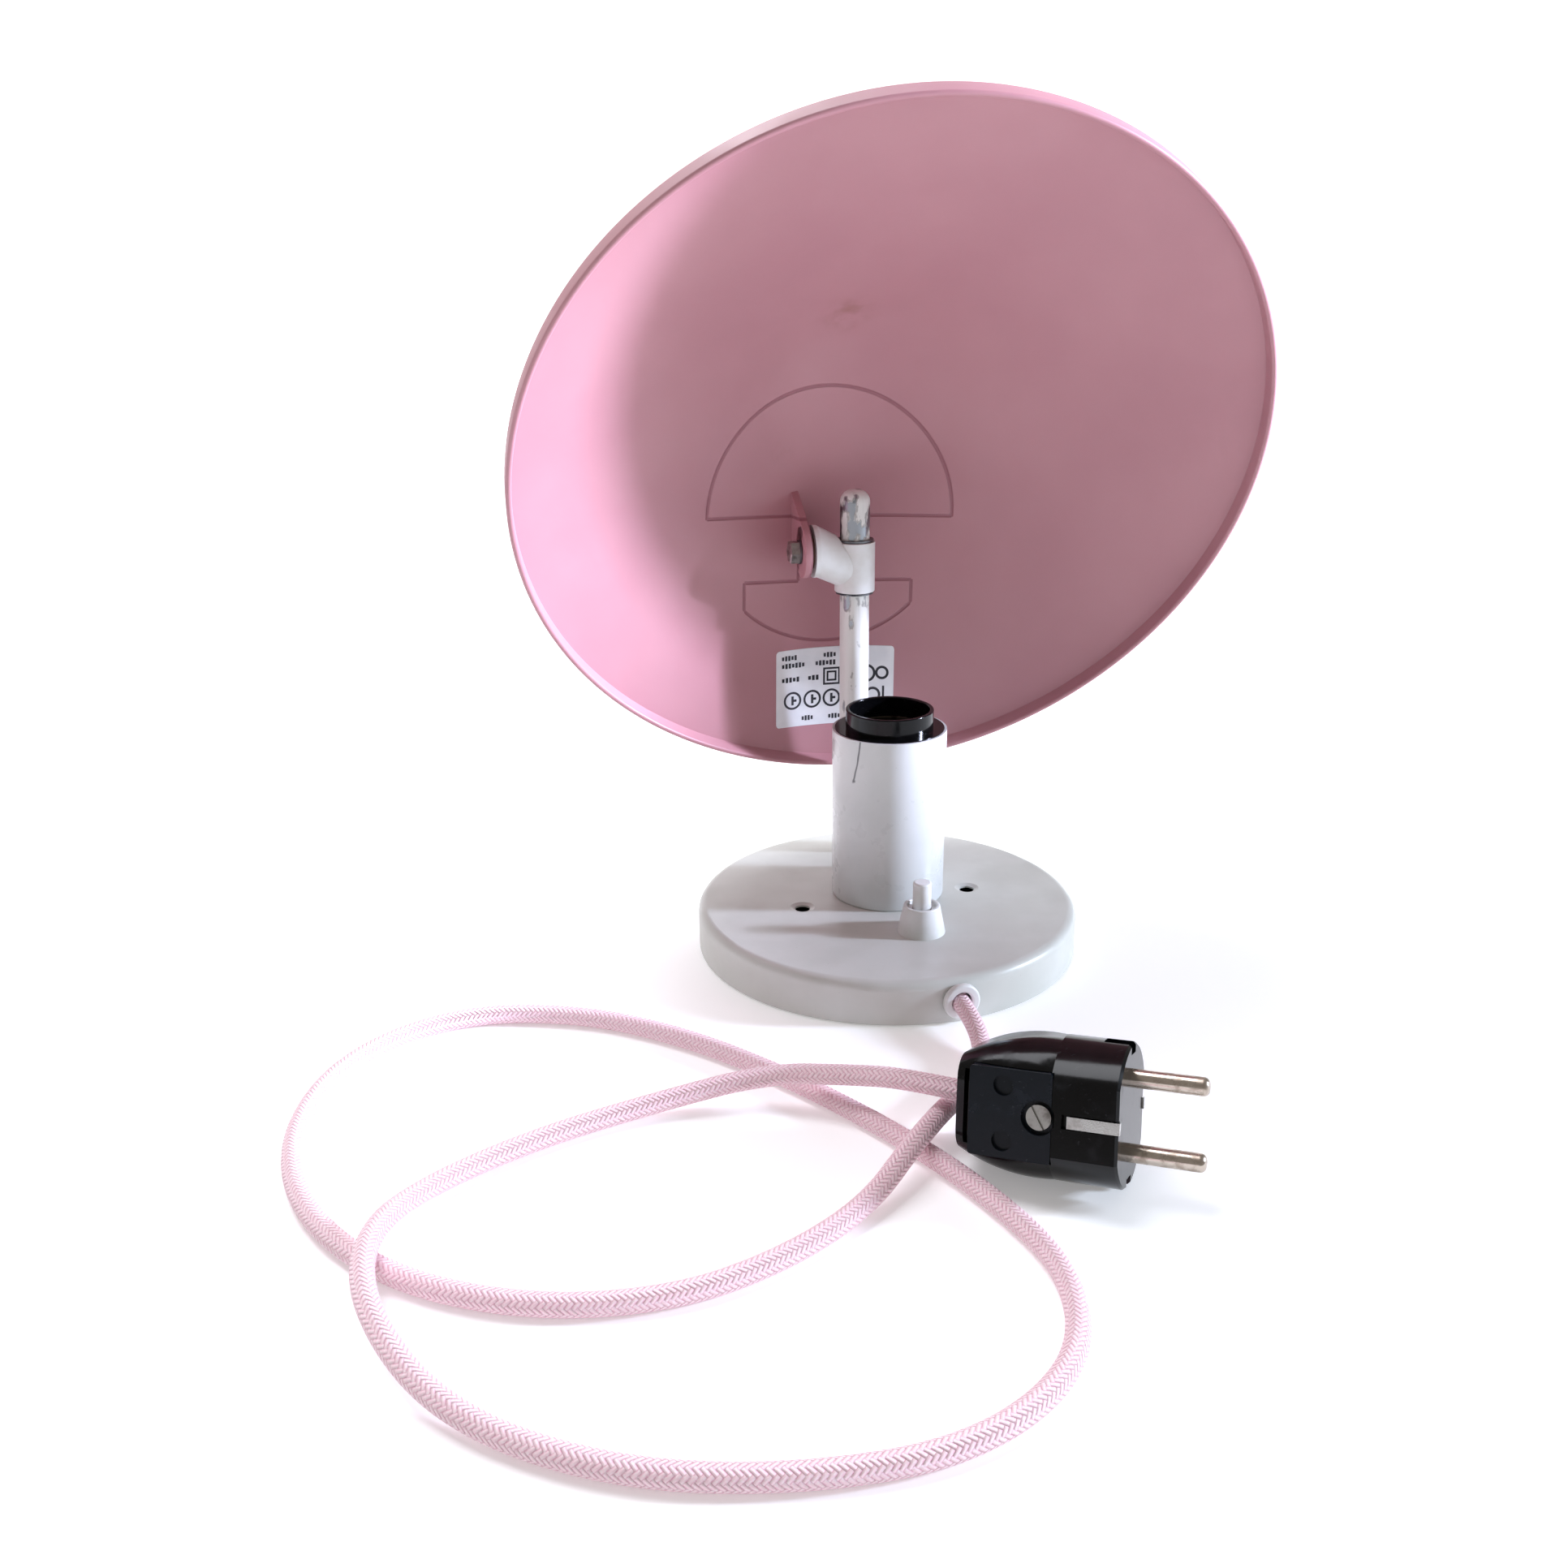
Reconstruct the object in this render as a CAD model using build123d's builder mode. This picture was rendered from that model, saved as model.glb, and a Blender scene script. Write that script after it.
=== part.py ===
"""Small table lamp with a tilting reflector shade, a bare E27 lampholder and a textile cord.

Units are millimetres. +Z is up and the front, with the switch and the cord exit, faces -Y.
The origin is the centre of the base's underside, on the surface that the lamp stands on.
"""

from build123d import *
from math import atan2, cos, hypot, pi, radians, sin, tan
import os

os.makedirs("parts", exist_ok=True)

# ---------------------------------------------------------------- driving dimensions
FIT = 0.07  # radial play of a running fit
LOOSE = 0.1  # radial play of a clearance hole
GAP = 0.3  # play between pieces that move past each other

# base
BASE_R = 65.0
BASE_TOP = 15.0
BASE_EDGE_R = 3.0
SHEET = 1.2  # thickness of the pressed steel cover
PAD_T = 1.2
PLATE_T = 1.2
BALLAST_T = 2.6
PLATE_Z = PAD_T
BALLAST_Z = PLATE_Z + PLATE_T
DECK_Z = BALLAST_Z + BALLAST_T  # the floor that the inner parts stand on
ROOF_Z = BASE_TOP - SHEET  # inner face of the cover's top
WALL_HOLE_X = 30.0  # half the 60 mm spacing of the two wall-mounting holes
WALL_HOLE_R = 2.6
DIMPLE_R = 4.2
LINE_X = 2.7  # switch, lampholder, stem and cord exit stand on one line, a little off centre

# lampholder on the base
HOLDER_Y = 6.4
SLEEVE_R = 19.4
SLEEVE_WALL = 0.8
SLEEVE_TOP = 74.8
RING_R = 14.85  # bakelite ring that stands out of the sleeve
RING_BORE = 13.45
RING_TOP = 81.5
FLANGE_R = SLEEVE_R - SLEEVE_WALL - LOOSE
FLANGE_T = 2.0
FLANGE_TOP = 75.1
HOLDER_Z = 40.0  # underside of the bakelite body
HOLDER_R = 17.4
HOLDER_BORE = RING_R + LOOSE
INSERT_TOP = 52.0
THREAD_PITCH = 3.62  # E27
THREAD_R = 12.75
NIPPLE_R = 5.0  # M10x1
NIPPLE_BORE = 3.5

# push switch
SWITCH_Y = -29.0
SWITCH_R = 8.5
NECK_R = 5.0
BUTTON_R = 3.05
BUTTON_TOP = 32.5
BUTTON_TRAVEL = 2.5
COLLAR_FOOT_R = 7.9
COLLAR_HEAD_R = 5.95
COLLAR_TOP = 24.5

# stem
STEM_Y = 47.0
STEM_R = 5.25
STEM_TOP = 149.0
STUD_R = 4.0  # M8 end under the base top

# clip, which slides and swivels on the stem
SWIVEL = -3.6  # degrees about the stem at rest
BAND_FOOT = 113.4
BAND_HEAD = 131.0
BAND_R = 7.15
BUSH_R = 6.15
HINGE_Z = 128.0
HINGE_R = 9.15  # radius of the clip's disc and of the shade's ear
DISC_X = -15.5  # outer face of the clip's disc
EAR_X = -16.8  # inner face of the ear
EAR_T = 2.6
SCREW_R = 2.0  # M4

# shade
SHADE_R = 123.0
SHADE_T = 1.9
SHADE_SLOPE = 31.0  # degrees between the cone and the rim's plane
APEX_R = 70.0  # blend at the middle
LIP = 5.0  # depth of the short cylinder round the opening
SHADE_TILT = 26.6  # degrees that the opening looks down at rest
SHADE_X = 3.2  # from the stem to the shade's middle
SHADE_Y = -46.6
SHADE_Z = 154.9  # middle of the opening at rest

# cord and plug
CORD_R = 2.9
CORD_Z = 7.9  # middle of the exit in the base's side
GROMMET_R = 5.9
PLUG_AT = (13.0, -156.2, 20.2)  # middle of the plug's front face
PLUG_TURN = -38.4
PLUG_RISE = 5.0
PLUG_ROLL = 17.4
PIN_GAP = 9.5  # half of 19 mm
PIN_R = 2.4
PIN_SHANK_R = 2.0  # inside the body
PIN_LENGTH = 19.0
PLUG_R = 18.5
PLUG_LENGTH = 42.0


# ---------------------------------------------------------------- helpers
def direction(frame, vector):
    """A vector of a frame's own axes, in the model's axes."""
    return frame.x_dir * vector[0] + frame.y_dir * vector[1] + frame.z_dir * vector[2]


def within(frame, origin, x_dir, z_dir):
    """A plane given by its origin and directions in another frame's own coordinates."""
    return Plane(
        origin=frame.origin + direction(frame, origin),
        x_dir=direction(frame, x_dir),
        z_dir=direction(frame, z_dir),
    )


def line_axis(frame, origin, along):
    """An axis given in a frame's own coordinates."""
    return Axis(frame.origin + direction(frame, origin), direction(frame, along))


def upright(y, z=0.0):
    """A level plane on the lamp's line of pieces, at this y and height."""
    return Plane(origin=(LINE_X, y, z))


def save(name, piece):
    """Labels a finished piece and writes it under its node's name."""
    piece.label = name
    export_step(piece, f"parts/{name}.step")


def tube(points, radii, radius):
    """A round bar along straight runs joined by tangent arcs."""
    with BuildPart() as bar:
        with BuildLine() as path:
            FilletPolyline(*points, radius=radii)
        start = path.wires()[0]
        with BuildSketch(Plane(origin=start @ 0, z_dir=start % 0)):
            Circle(radius)
        sweep(path=start)
    return bar.part, start.length


def bend_radii(points):
    """For each inner point, 0.45 of its shorter run over the tangent of half its turn."""
    corners = [Vector(*point) for point in points]
    radii = []
    for before, here, after in zip(corners, corners[1:], corners[2:]):
        into, out = here - before, after - here
        half_turn = radians(into.get_angle(out)) / 2
        radii.append(0.45 * min(into.length, out.length) / tan(half_turn))
    return radii


def plug_plane(x, y=0.0, z=0.0):
    """A plane across the plug's axis: x towards the pins, y away from the lid, z between pins."""
    return within(PLUG, (x, y, z), (0, 1, 0), (1, 0, 0))


# ---------------------------------------------------------------- frames
CLIP = Plane(
    origin=(LINE_X, STEM_Y, 0),
    x_dir=(cos(radians(SWIVEL)), sin(radians(SWIVEL)), 0),
    z_dir=(0, 0, 1),
)
TILT_COS = cos(radians(SHADE_TILT))
TILT_SIN = sin(radians(SHADE_TILT))
# z runs from the opening back into the dish, y from the middle down to the lowest rim point
SHADE = within(CLIP, (SHADE_X, SHADE_Y, SHADE_Z), (1, 0, 0), (0, TILT_COS, TILT_SIN))
PLUG_X = Vector(
    cos(radians(PLUG_TURN)) * cos(radians(PLUG_RISE)),
    sin(radians(PLUG_TURN)) * cos(radians(PLUG_RISE)),
    sin(radians(PLUG_RISE)),
)
PLUG_LEVEL = Vector(-sin(radians(PLUG_TURN)), cos(radians(PLUG_TURN)), 0)
PLUG_UP = PLUG_X.cross(PLUG_LEVEL)
PLUG = Plane(
    origin=PLUG_AT,
    x_dir=PLUG_X,
    z_dir=PLUG_UP * cos(radians(PLUG_ROLL)) + PLUG_LEVEL * sin(radians(PLUG_ROLL)),
)

# ---------------------------------------------------------------- base
wall_holes = [(-WALL_HOLE_X, 0), (WALL_HOLE_X, 0)]

with BuildPart() as base_cover:
    with BuildSketch(Plane.XY.offset(0.5)):
        Circle(BASE_R)
    extrude(amount=BASE_TOP - 0.5)
    fillet(base_cover.edges().group_by(Axis.Z)[-1], BASE_EDGE_R)
    with BuildSketch(Plane.XY.offset(0.5)):
        Circle(BASE_R - SHEET)
    extrude(amount=ROOF_Z - 0.5, mode=Mode.SUBTRACT)
    with Locations(Plane.XY.offset(BASE_TOP)):
        with Locations(*wall_holes):
            CounterSinkHole(WALL_HOLE_R, DIMPLE_R, counter_sink_angle=140)
    with BuildSketch(Plane.XY.offset(ROOF_Z)):
        with Locations((LINE_X, HOLDER_Y)):
            Circle(NIPPLE_R + LOOSE)
        with Locations((LINE_X, SWITCH_Y)):
            Circle(NECK_R + LOOSE)
        with Locations((LINE_X, STEM_Y)):
            Circle(STUD_R + LOOSE)
    extrude(amount=SHEET, mode=Mode.SUBTRACT)
    with BuildSketch(Plane(origin=(LINE_X, -BASE_R - 1, CORD_Z), z_dir=(0, 1, 0))):
        Circle(4.6)
    extrude(amount=10, mode=Mode.SUBTRACT)
save("base_cover", base_cover.part)

with BuildPart() as base_pad:
    with BuildSketch():
        Circle(BASE_R - 2.5)
        with Locations(*wall_holes):
            Circle(5, mode=Mode.SUBTRACT)
    extrude(amount=PAD_T)
save("base_pad", base_pad.part)

with BuildPart() as bottom_plate:
    with BuildSketch(Plane.XY.offset(PLATE_Z)):
        Circle(BASE_R - SHEET - 0.05)
        with Locations(*wall_holes):
            Circle(5, mode=Mode.SUBTRACT)
    extrude(amount=PLATE_T)
save("bottom_plate", bottom_plate.part)

with BuildPart() as ballast_disc:
    with BuildSketch(Plane.XY.offset(BALLAST_Z)):
        Circle(BASE_R - SHEET - 3.3)
        with Locations(*wall_holes):
            Circle(5, mode=Mode.SUBTRACT)
    extrude(amount=BALLAST_T)
save("ballast_disc", ballast_disc.part)

# ---------------------------------------------------------------- cord exit and wiring
with BuildPart() as cord_grommet:
    with BuildSketch(Plane(origin=(LINE_X, 0, CORD_Z), x_dir=(0, 1, 0), z_dir=(1, 0, 0))):
        with Locations((-BASE_R - 1.25, 4.55)):
            RectangleRounded(2.3, 2.7, 0.8)
        with Locations((-BASE_R + 1.0, 3.85)):
            Rectangle(4.0, 1.3)
        with Locations((-BASE_R + 2.6, 4.35)):
            Rectangle(1.3, 2.3)
    revolve(axis=Axis((LINE_X, 0, CORD_Z), (0, 1, 0)))
save("cord_grommet", cord_grommet.part)

CLAMP_Y = -53.0
with BuildPart() as cord_clamp:
    with BuildSketch(Plane(origin=(LINE_X, CLAMP_Y - 3, DECK_Z), z_dir=(0, 1, 0), x_dir=(1, 0, 0))):
        with Locations((0, -2.0)):
            Rectangle(20, 4.0)
        with Locations((0, -CORD_Z + DECK_Z)):
            Circle(4.6)
            Circle(CORD_R + 0.02, mode=Mode.SUBTRACT)
        with Locations((0, 2.5)):
            Rectangle(30, 5, mode=Mode.SUBTRACT)
        with Locations((0, -1.2)):
            Rectangle(2 * CORD_R + 0.04, 3.4, mode=Mode.SUBTRACT)
    extrude(amount=6)
    with Locations(Plane(origin=(LINE_X, CLAMP_Y, DECK_Z + 4.0))):
        with Locations((-7.5, 0), (7.5, 0)):
            Hole(1.55)
save("cord_clamp", cord_clamp.part)

with BuildPart() as clamp_screws:
    for side in (-7.5, 7.5):
        with BuildSketch(Plane(origin=(LINE_X + side, CLAMP_Y, DECK_Z))):
            Circle(1.5)
        extrude(amount=4)
        with BuildSketch(Plane(origin=(LINE_X + side, CLAMP_Y, DECK_Z + 4))):
            Circle(2.8)
        extrude(amount=1.8)
save("clamp_screws", clamp_screws.part)

BLOCK_X = -24.0
BLOCK_Y = -32.0
with BuildPart() as terminal_block:
    with Locations((BLOCK_X, BLOCK_Y, DECK_Z + 4)):
        Box(16, 18, 8)
        fillet(terminal_block.edges().filter_by(Axis.Z), 1.5)
    with BuildSketch(Plane(origin=(BLOCK_X, BLOCK_Y - 9, DECK_Z + 4), z_dir=(0, 1, 0), x_dir=(1, 0, 0))):
        with Locations((-4, 0), (4, 0)):
            Circle(1.7)
    extrude(amount=18, mode=Mode.SUBTRACT)
    with Locations(Plane(origin=(BLOCK_X, BLOCK_Y, DECK_Z + 8))):
        with GridLocations(8, 8, 2, 2):
            Hole(1.5, depth=4)
save("terminal_block", terminal_block.part)

with BuildPart() as terminal_screws:
    with Locations(Plane(origin=(BLOCK_X, BLOCK_Y, DECK_Z + 5.8))):
        with GridLocations(8, 8, 2, 2):
            Cylinder(1.45, 2.2, align=(Align.CENTER, Align.CENTER, Align.MIN))
save("terminal_screws", terminal_screws.part)

WIRE_R = 0.9
WIRE_Z = DECK_Z + 4.0
CORES_Y = -47.0  # where the cord's sheath ends
supply_routes = [
    [(LINE_X - 1.2, CORES_Y, CORD_Z), (LINE_X - 1.2, -43.6, CORD_Z), (-8, -43.2, WIRE_Z), (-19, -47.5, WIRE_Z),
     (BLOCK_X - 4, -46.5, WIRE_Z), (BLOCK_X - 4, -38, WIRE_Z)],
    [(LINE_X + 1.2, CORES_Y, CORD_Z), (LINE_X + 1.2, -41.5, CORD_Z), (-5, -40.4, WIRE_Z), (-14, -43.2, WIRE_Z),
     (BLOCK_X + 4, -43.8, WIRE_Z), (BLOCK_X + 4, -38, WIRE_Z)],
]
supply_cores = Compound([tube(route, bend_radii(route), WIRE_R)[0].solids()[0] for route in supply_routes])
save("supply_cores", supply_cores)

switch_routes = [
    [(BLOCK_X + 4, -26, WIRE_Z), (BLOCK_X + 6, -18, WIRE_Z), (-10, -17, WIRE_Z), (-4.4, -23.8, WIRE_Z)],
]
switch_wires = Compound([tube(route, bend_radii(route), WIRE_R)[0].solids()[0] for route in switch_routes])
save("switch_wires", switch_wires)

RISE_Z = 45.0  # where the wires enter the lampholder
holder_routes = [
    [(BLOCK_X - 4, -26, WIRE_Z), (BLOCK_X - 4, -10, WIRE_Z), (-14, 5, 7.0), (LINE_X - 3.5, HOLDER_Y, 6.4),
     (LINE_X - 1.3, HOLDER_Y, 10.5), (LINE_X - 1.3, HOLDER_Y, RISE_Z)],
    [(9.2, -23.0, WIRE_Z), (14, -14, WIRE_Z), (13, 2, 7.4), (LINE_X + 4.4, HOLDER_Y - 1, 6.4),
     (LINE_X + 1.3, HOLDER_Y, 10.5), (LINE_X + 1.3, HOLDER_Y, RISE_Z)],
]
holder_wires = Compound([tube(route, bend_radii(route), WIRE_R)[0].solids()[0] for route in holder_routes])
save("holder_wires", holder_wires)

# ---------------------------------------------------------------- push switch
with BuildPart() as switch_body:
    with BuildSketch(upright(SWITCH_Y, DECK_Z + 0.3)):
        Circle(SWITCH_R)
    extrude(amount=ROOF_Z - DECK_Z - 0.3)
    with BuildSketch(upright(SWITCH_Y, ROOF_Z)):
        Circle(NECK_R)
    extrude(amount=8.6)
    with BuildSketch(upright(SWITCH_Y, DECK_Z + 1.4)):
        Circle(BUTTON_R + FIT)
    extrude(amount=20, mode=Mode.SUBTRACT)
save("switch_body", switch_body.part)

with BuildPart() as switch_collar:
    with BuildSketch(Plane(origin=(LINE_X, SWITCH_Y, 0), x_dir=(1, 0, 0), z_dir=(0, -1, 0))):
        with BuildLine():
            Polyline(
                (NECK_R + 0.05, BASE_TOP),
                (COLLAR_FOOT_R, BASE_TOP),
                (COLLAR_HEAD_R, COLLAR_TOP),
                (COLLAR_HEAD_R - 1.1, COLLAR_TOP),
                (COLLAR_HEAD_R - 1.1, ROOF_Z + 9.4),
                (BUTTON_R + 0.15, ROOF_Z + 9.4),
                (BUTTON_R + 0.15, ROOF_Z + 8.6),
                (NECK_R + 0.05, ROOF_Z + 8.6),
                close=True,
            )
        make_face()
    revolve(axis=Axis((LINE_X, SWITCH_Y, 0), (0, 0, 1)))
    fillet(switch_collar.edges().filter_by(GeomType.CIRCLE).group_by(Axis.Z)[-1], 0.4)
save("switch_collar", switch_collar.part)

with BuildPart() as switch_button:
    with BuildSketch(upright(SWITCH_Y, DECK_Z + 5)):
        Circle(BUTTON_R)
    extrude(amount=BUTTON_TOP - DECK_Z - 5)
    fillet(switch_button.edges().group_by(Axis.Z)[-1], 0.7)
save("switch_button", switch_button.part)

# ---------------------------------------------------------------- lampholder
with BuildPart() as holder_nipple:
    with BuildSketch(upright(HOLDER_Y, 9.5)):
        Circle(NIPPLE_R)
        Circle(NIPPLE_BORE, mode=Mode.SUBTRACT)
    extrude(amount=HOLDER_Z + 3.6 - 9.5)
save("holder_nipple", holder_nipple.part)

with BuildPart() as nipple_nuts:
    for foot in (ROOF_Z - 3, BASE_TOP + SLEEVE_WALL):
        with BuildSketch(upright(HOLDER_Y, foot)):
            RegularPolygon(7, 6, major_radius=False)
            Circle(NIPPLE_R + 0.02, mode=Mode.SUBTRACT)
        extrude(amount=3)
save("nipple_nuts", nipple_nuts.part)

with BuildPart() as holder_sleeve:
    with BuildSketch(upright(HOLDER_Y, BASE_TOP)):
        Circle(SLEEVE_R)
    extrude(amount=SLEEVE_TOP - BASE_TOP)
    fillet(holder_sleeve.edges().group_by(Axis.Z)[0], 0.6)
    with BuildSketch(upright(HOLDER_Y, BASE_TOP + SLEEVE_WALL)):
        Circle(SLEEVE_R - SLEEVE_WALL)
    extrude(amount=SLEEVE_TOP, mode=Mode.SUBTRACT)
    with BuildSketch(upright(HOLDER_Y, BASE_TOP)):
        Circle(NIPPLE_R + LOOSE)
    extrude(amount=SLEEVE_WALL, mode=Mode.SUBTRACT)
save("holder_sleeve", holder_sleeve.part)

with BuildPart() as holder_body:
    with BuildSketch(upright(HOLDER_Y, HOLDER_Z)):
        Circle(HOLDER_R)
    extrude(amount=FLANGE_TOP - FLANGE_T - HOLDER_Z)
    with BuildSketch(upright(HOLDER_Y, HOLDER_Z + 5)):
        Circle(HOLDER_BORE)
    extrude(amount=60, mode=Mode.SUBTRACT)
    with BuildSketch(upright(HOLDER_Y, HOLDER_Z)):
        Circle(NIPPLE_R + 0.02)
    extrude(amount=3.6, mode=Mode.SUBTRACT)
    with BuildSketch(upright(HOLDER_Y, HOLDER_Z + 3.6)):
        Circle(NIPPLE_BORE)
    extrude(amount=2, mode=Mode.SUBTRACT)
    chamfer(holder_body.edges().group_by(Axis.Z)[0].sort_by(SortBy.RADIUS)[-1], 1.5)
save("holder_body", holder_body.part)

with BuildPart() as holder_insert:
    with BuildSketch(upright(HOLDER_Y, HOLDER_Z + 5)):
        Circle(HOLDER_BORE - 0.05)
        with Locations((-1.3, 0), (1.3, 0)):
            Circle(WIRE_R + 0.15, mode=Mode.SUBTRACT)
    extrude(amount=INSERT_TOP - HOLDER_Z - 5)
save("holder_insert", holder_insert.part)

with BuildPart() as centre_contact:
    with BuildSketch(Plane(origin=(LINE_X, HOLDER_Y - 3.2, 0), x_dir=(1, 0, 0), z_dir=(0, -1, 0))):
        with BuildLine():
            Polyline(
                (-9, INSERT_TOP), (-4, INSERT_TOP), (-1.6, INSERT_TOP + 5.4), (1.6, INSERT_TOP + 5.4),
                (4, INSERT_TOP + 2), (4.6, INSERT_TOP + 2.3), (2.2, INSERT_TOP + 6), (-2.2, INSERT_TOP + 6),
                (-4.5, INSERT_TOP + 0.6), (-9, INSERT_TOP + 0.6), close=True,
            )
        make_face()
    extrude(amount=-6.4)
save("centre_contact", centre_contact.part)

with BuildPart() as thread_shell:
    with BuildSketch(Plane(origin=(LINE_X, HOLDER_Y, 0), x_dir=(1, 0, 0), z_dir=(0, -1, 0))):
        half = THREAD_PITCH / 2
        foot = INSERT_TOP + 1.2
        turns = 6
        wave = [(THREAD_R, foot + half * step) for step in range(2 * turns + 1)]
        bulges = [0.35 if step % 2 == 0 else -0.35 for step in range(2 * turns)]
        with BuildLine():
            for (r, low), (_, high), bulge in zip(wave, wave[1:], bulges):
                ThreePointArc((r, low), (r + bulge, (low + high) / 2), (r, high))
            top = wave[-1][1]
            Line((THREAD_R, top), (THREAD_R - 0.3, top))
            for (r, low), (_, high), bulge in reversed(list(zip(wave, wave[1:], bulges))):
                ThreePointArc((r - 0.3, high), (r - 0.3 + bulge, (low + high) / 2), (r - 0.3, low))
            Line((THREAD_R - 0.3, foot), (THREAD_R, foot))
        make_face()
    revolve(axis=Axis((LINE_X, HOLDER_Y, 0), (0, 0, 1)))
    with BuildSketch(upright(HOLDER_Y, INSERT_TOP)):
        Circle(THREAD_R)
        Circle(10, mode=Mode.SUBTRACT)
    extrude(amount=1.3)
save("thread_shell", thread_shell.part)

with BuildPart() as holder_ring:
    with BuildSketch(Plane(origin=(LINE_X, HOLDER_Y, 0), x_dir=(1, 0, 0), z_dir=(0, -1, 0))):
        with BuildLine():
            Polyline(
                (RING_BORE + 0.2, INSERT_TOP + 2),
                (RING_R, INSERT_TOP + 2),
                (RING_R, FLANGE_TOP - FLANGE_T),
                (FLANGE_R, FLANGE_TOP - FLANGE_T),
                (FLANGE_R, FLANGE_TOP),
                (RING_R, FLANGE_TOP),
                (RING_R, RING_TOP),
                (RING_BORE, RING_TOP),
                (RING_BORE, FLANGE_TOP),
                (RING_BORE + 0.2, FLANGE_TOP),
                close=True,
            )
        make_face()
    revolve(axis=Axis((LINE_X, HOLDER_Y, 0), (0, 0, 1)))
    fillet(holder_ring.edges().filter_by(GeomType.CIRCLE).group_by(Axis.Z)[-1], 0.4)
save("holder_ring", holder_ring.part)

# ---------------------------------------------------------------- stem
with BuildPart() as stem_rod:
    with BuildSketch(Plane(origin=(LINE_X, STEM_Y, 0), x_dir=(1, 0, 0), z_dir=(0, -1, 0))):
        with BuildLine():
            Polyline(
                (0, 8.4), (STUD_R, 8.4), (STUD_R, BASE_TOP), (STEM_R, BASE_TOP),
                (STEM_R, STEM_TOP), (0, STEM_TOP), close=True,
            )
        make_face()
    revolve(axis=Axis((LINE_X, STEM_Y, 0), (0, 0, 1)))
    fillet(stem_rod.edges().group_by(Axis.Z)[-1], 4.2)
save("stem_rod", stem_rod.part)

with BuildPart() as stem_washer:
    with BuildSketch(upright(STEM_Y, ROOF_Z - 1)):
        Circle(8)
        Circle(STUD_R + LOOSE, mode=Mode.SUBTRACT)
    extrude(amount=1)
save("stem_washer", stem_washer.part)

with BuildPart() as stem_nut:
    with BuildSketch(upright(STEM_Y, ROOF_Z - 5)):
        RegularPolygon(6.5, 6, major_radius=False)
        Circle(STUD_R + 0.02, mode=Mode.SUBTRACT)
    extrude(amount=4)
save("stem_nut", stem_nut.part)

# ---------------------------------------------------------------- clip on the stem
with BuildPart() as clip_bush:
    with BuildSketch(within(CLIP, (0, 0, BAND_FOOT - GAP - 0.5), (1, 0, 0), (0, 0, 1))):
        Circle(BUSH_R)
    extrude(amount=BAND_HEAD - BAND_FOOT + 2 * (GAP + 0.5))
    for foot in (BAND_FOOT - GAP - 0.5, BAND_HEAD + GAP):
        with BuildSketch(within(CLIP, (0, 0, foot), (1, 0, 0), (0, 0, 1))):
            Circle(BUSH_R + 0.5)
        extrude(amount=0.5)
    with BuildSketch(within(CLIP, (0, 0, BAND_FOOT - 2), (1, 0, 0), (0, 0, 1))):
        Circle(STEM_R + FIT)
    extrude(amount=30, mode=Mode.SUBTRACT)
save("clip_bush", clip_bush.part)

with BuildPart() as stem_clip:
    with BuildSketch(within(CLIP, (0, 0, BAND_FOOT), (1, 0, 0), (0, 0, 1))):
        Circle(BAND_R)
    extrude(amount=BAND_HEAD - BAND_FOOT)
    fillet(stem_clip.edges().filter_by(GeomType.CIRCLE), 0.3)
    with BuildSketch(within(CLIP, (DISC_X + 1.6, 0, HINGE_Z), (0, 1, 0), (1, 0, 0))):
        Circle(HINGE_R)
    with BuildSketch(within(CLIP, (-2.0, 0, (BAND_FOOT + BAND_HEAD) / 2), (0, 1, 0), (1, 0, 0))):
        Ellipse(BUSH_R + 0.6, (BAND_HEAD - BAND_FOOT) / 2 - 0.1)
    loft()
    with BuildSketch(within(CLIP, (DISC_X, 0, HINGE_Z), (0, 1, 0), (1, 0, 0))):
        Circle(HINGE_R)
    extrude(amount=1.6)
    with BuildSketch(within(CLIP, (0, 0, BAND_FOOT - 6), (1, 0, 0), (0, 0, 1))):
        Circle(BUSH_R + FIT)
    extrude(amount=40, mode=Mode.SUBTRACT)
    with BuildSketch(within(CLIP, (0, 0, BAND_HEAD), (1, 0, 0), (0, 0, 1))):
        Circle(BUSH_R + 0.5 + GAP)
    extrude(amount=20, mode=Mode.SUBTRACT)
    with BuildSketch(within(CLIP, (DISC_X, 0, HINGE_Z), (0, 1, 0), (1, 0, 0))):
        Circle(SCREW_R + 0.02)
    extrude(amount=7, mode=Mode.SUBTRACT)
save("stem_clip", stem_clip.part)

with BuildPart() as friction_washer:
    with BuildSketch(within(CLIP, (DISC_X - 0.8, 0, HINGE_Z), (0, 1, 0), (1, 0, 0))):
        Circle(6)
        Circle(SCREW_R + 0.15, mode=Mode.SUBTRACT)
    extrude(amount=0.8)
save("friction_washer", friction_washer.part)

WASHER_X = EAR_X - EAR_T - GAP  # inner face of the spring washer
with BuildPart() as spring_washer:
    with BuildSketch(within(CLIP, (WASHER_X - 0.6, 0, HINGE_Z), (0, 1, 0), (1, 0, 0))):
        Circle(4.2)
        Circle(SCREW_R + 0.15, mode=Mode.SUBTRACT)
    extrude(amount=0.6)
save("spring_washer", spring_washer.part)

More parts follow.
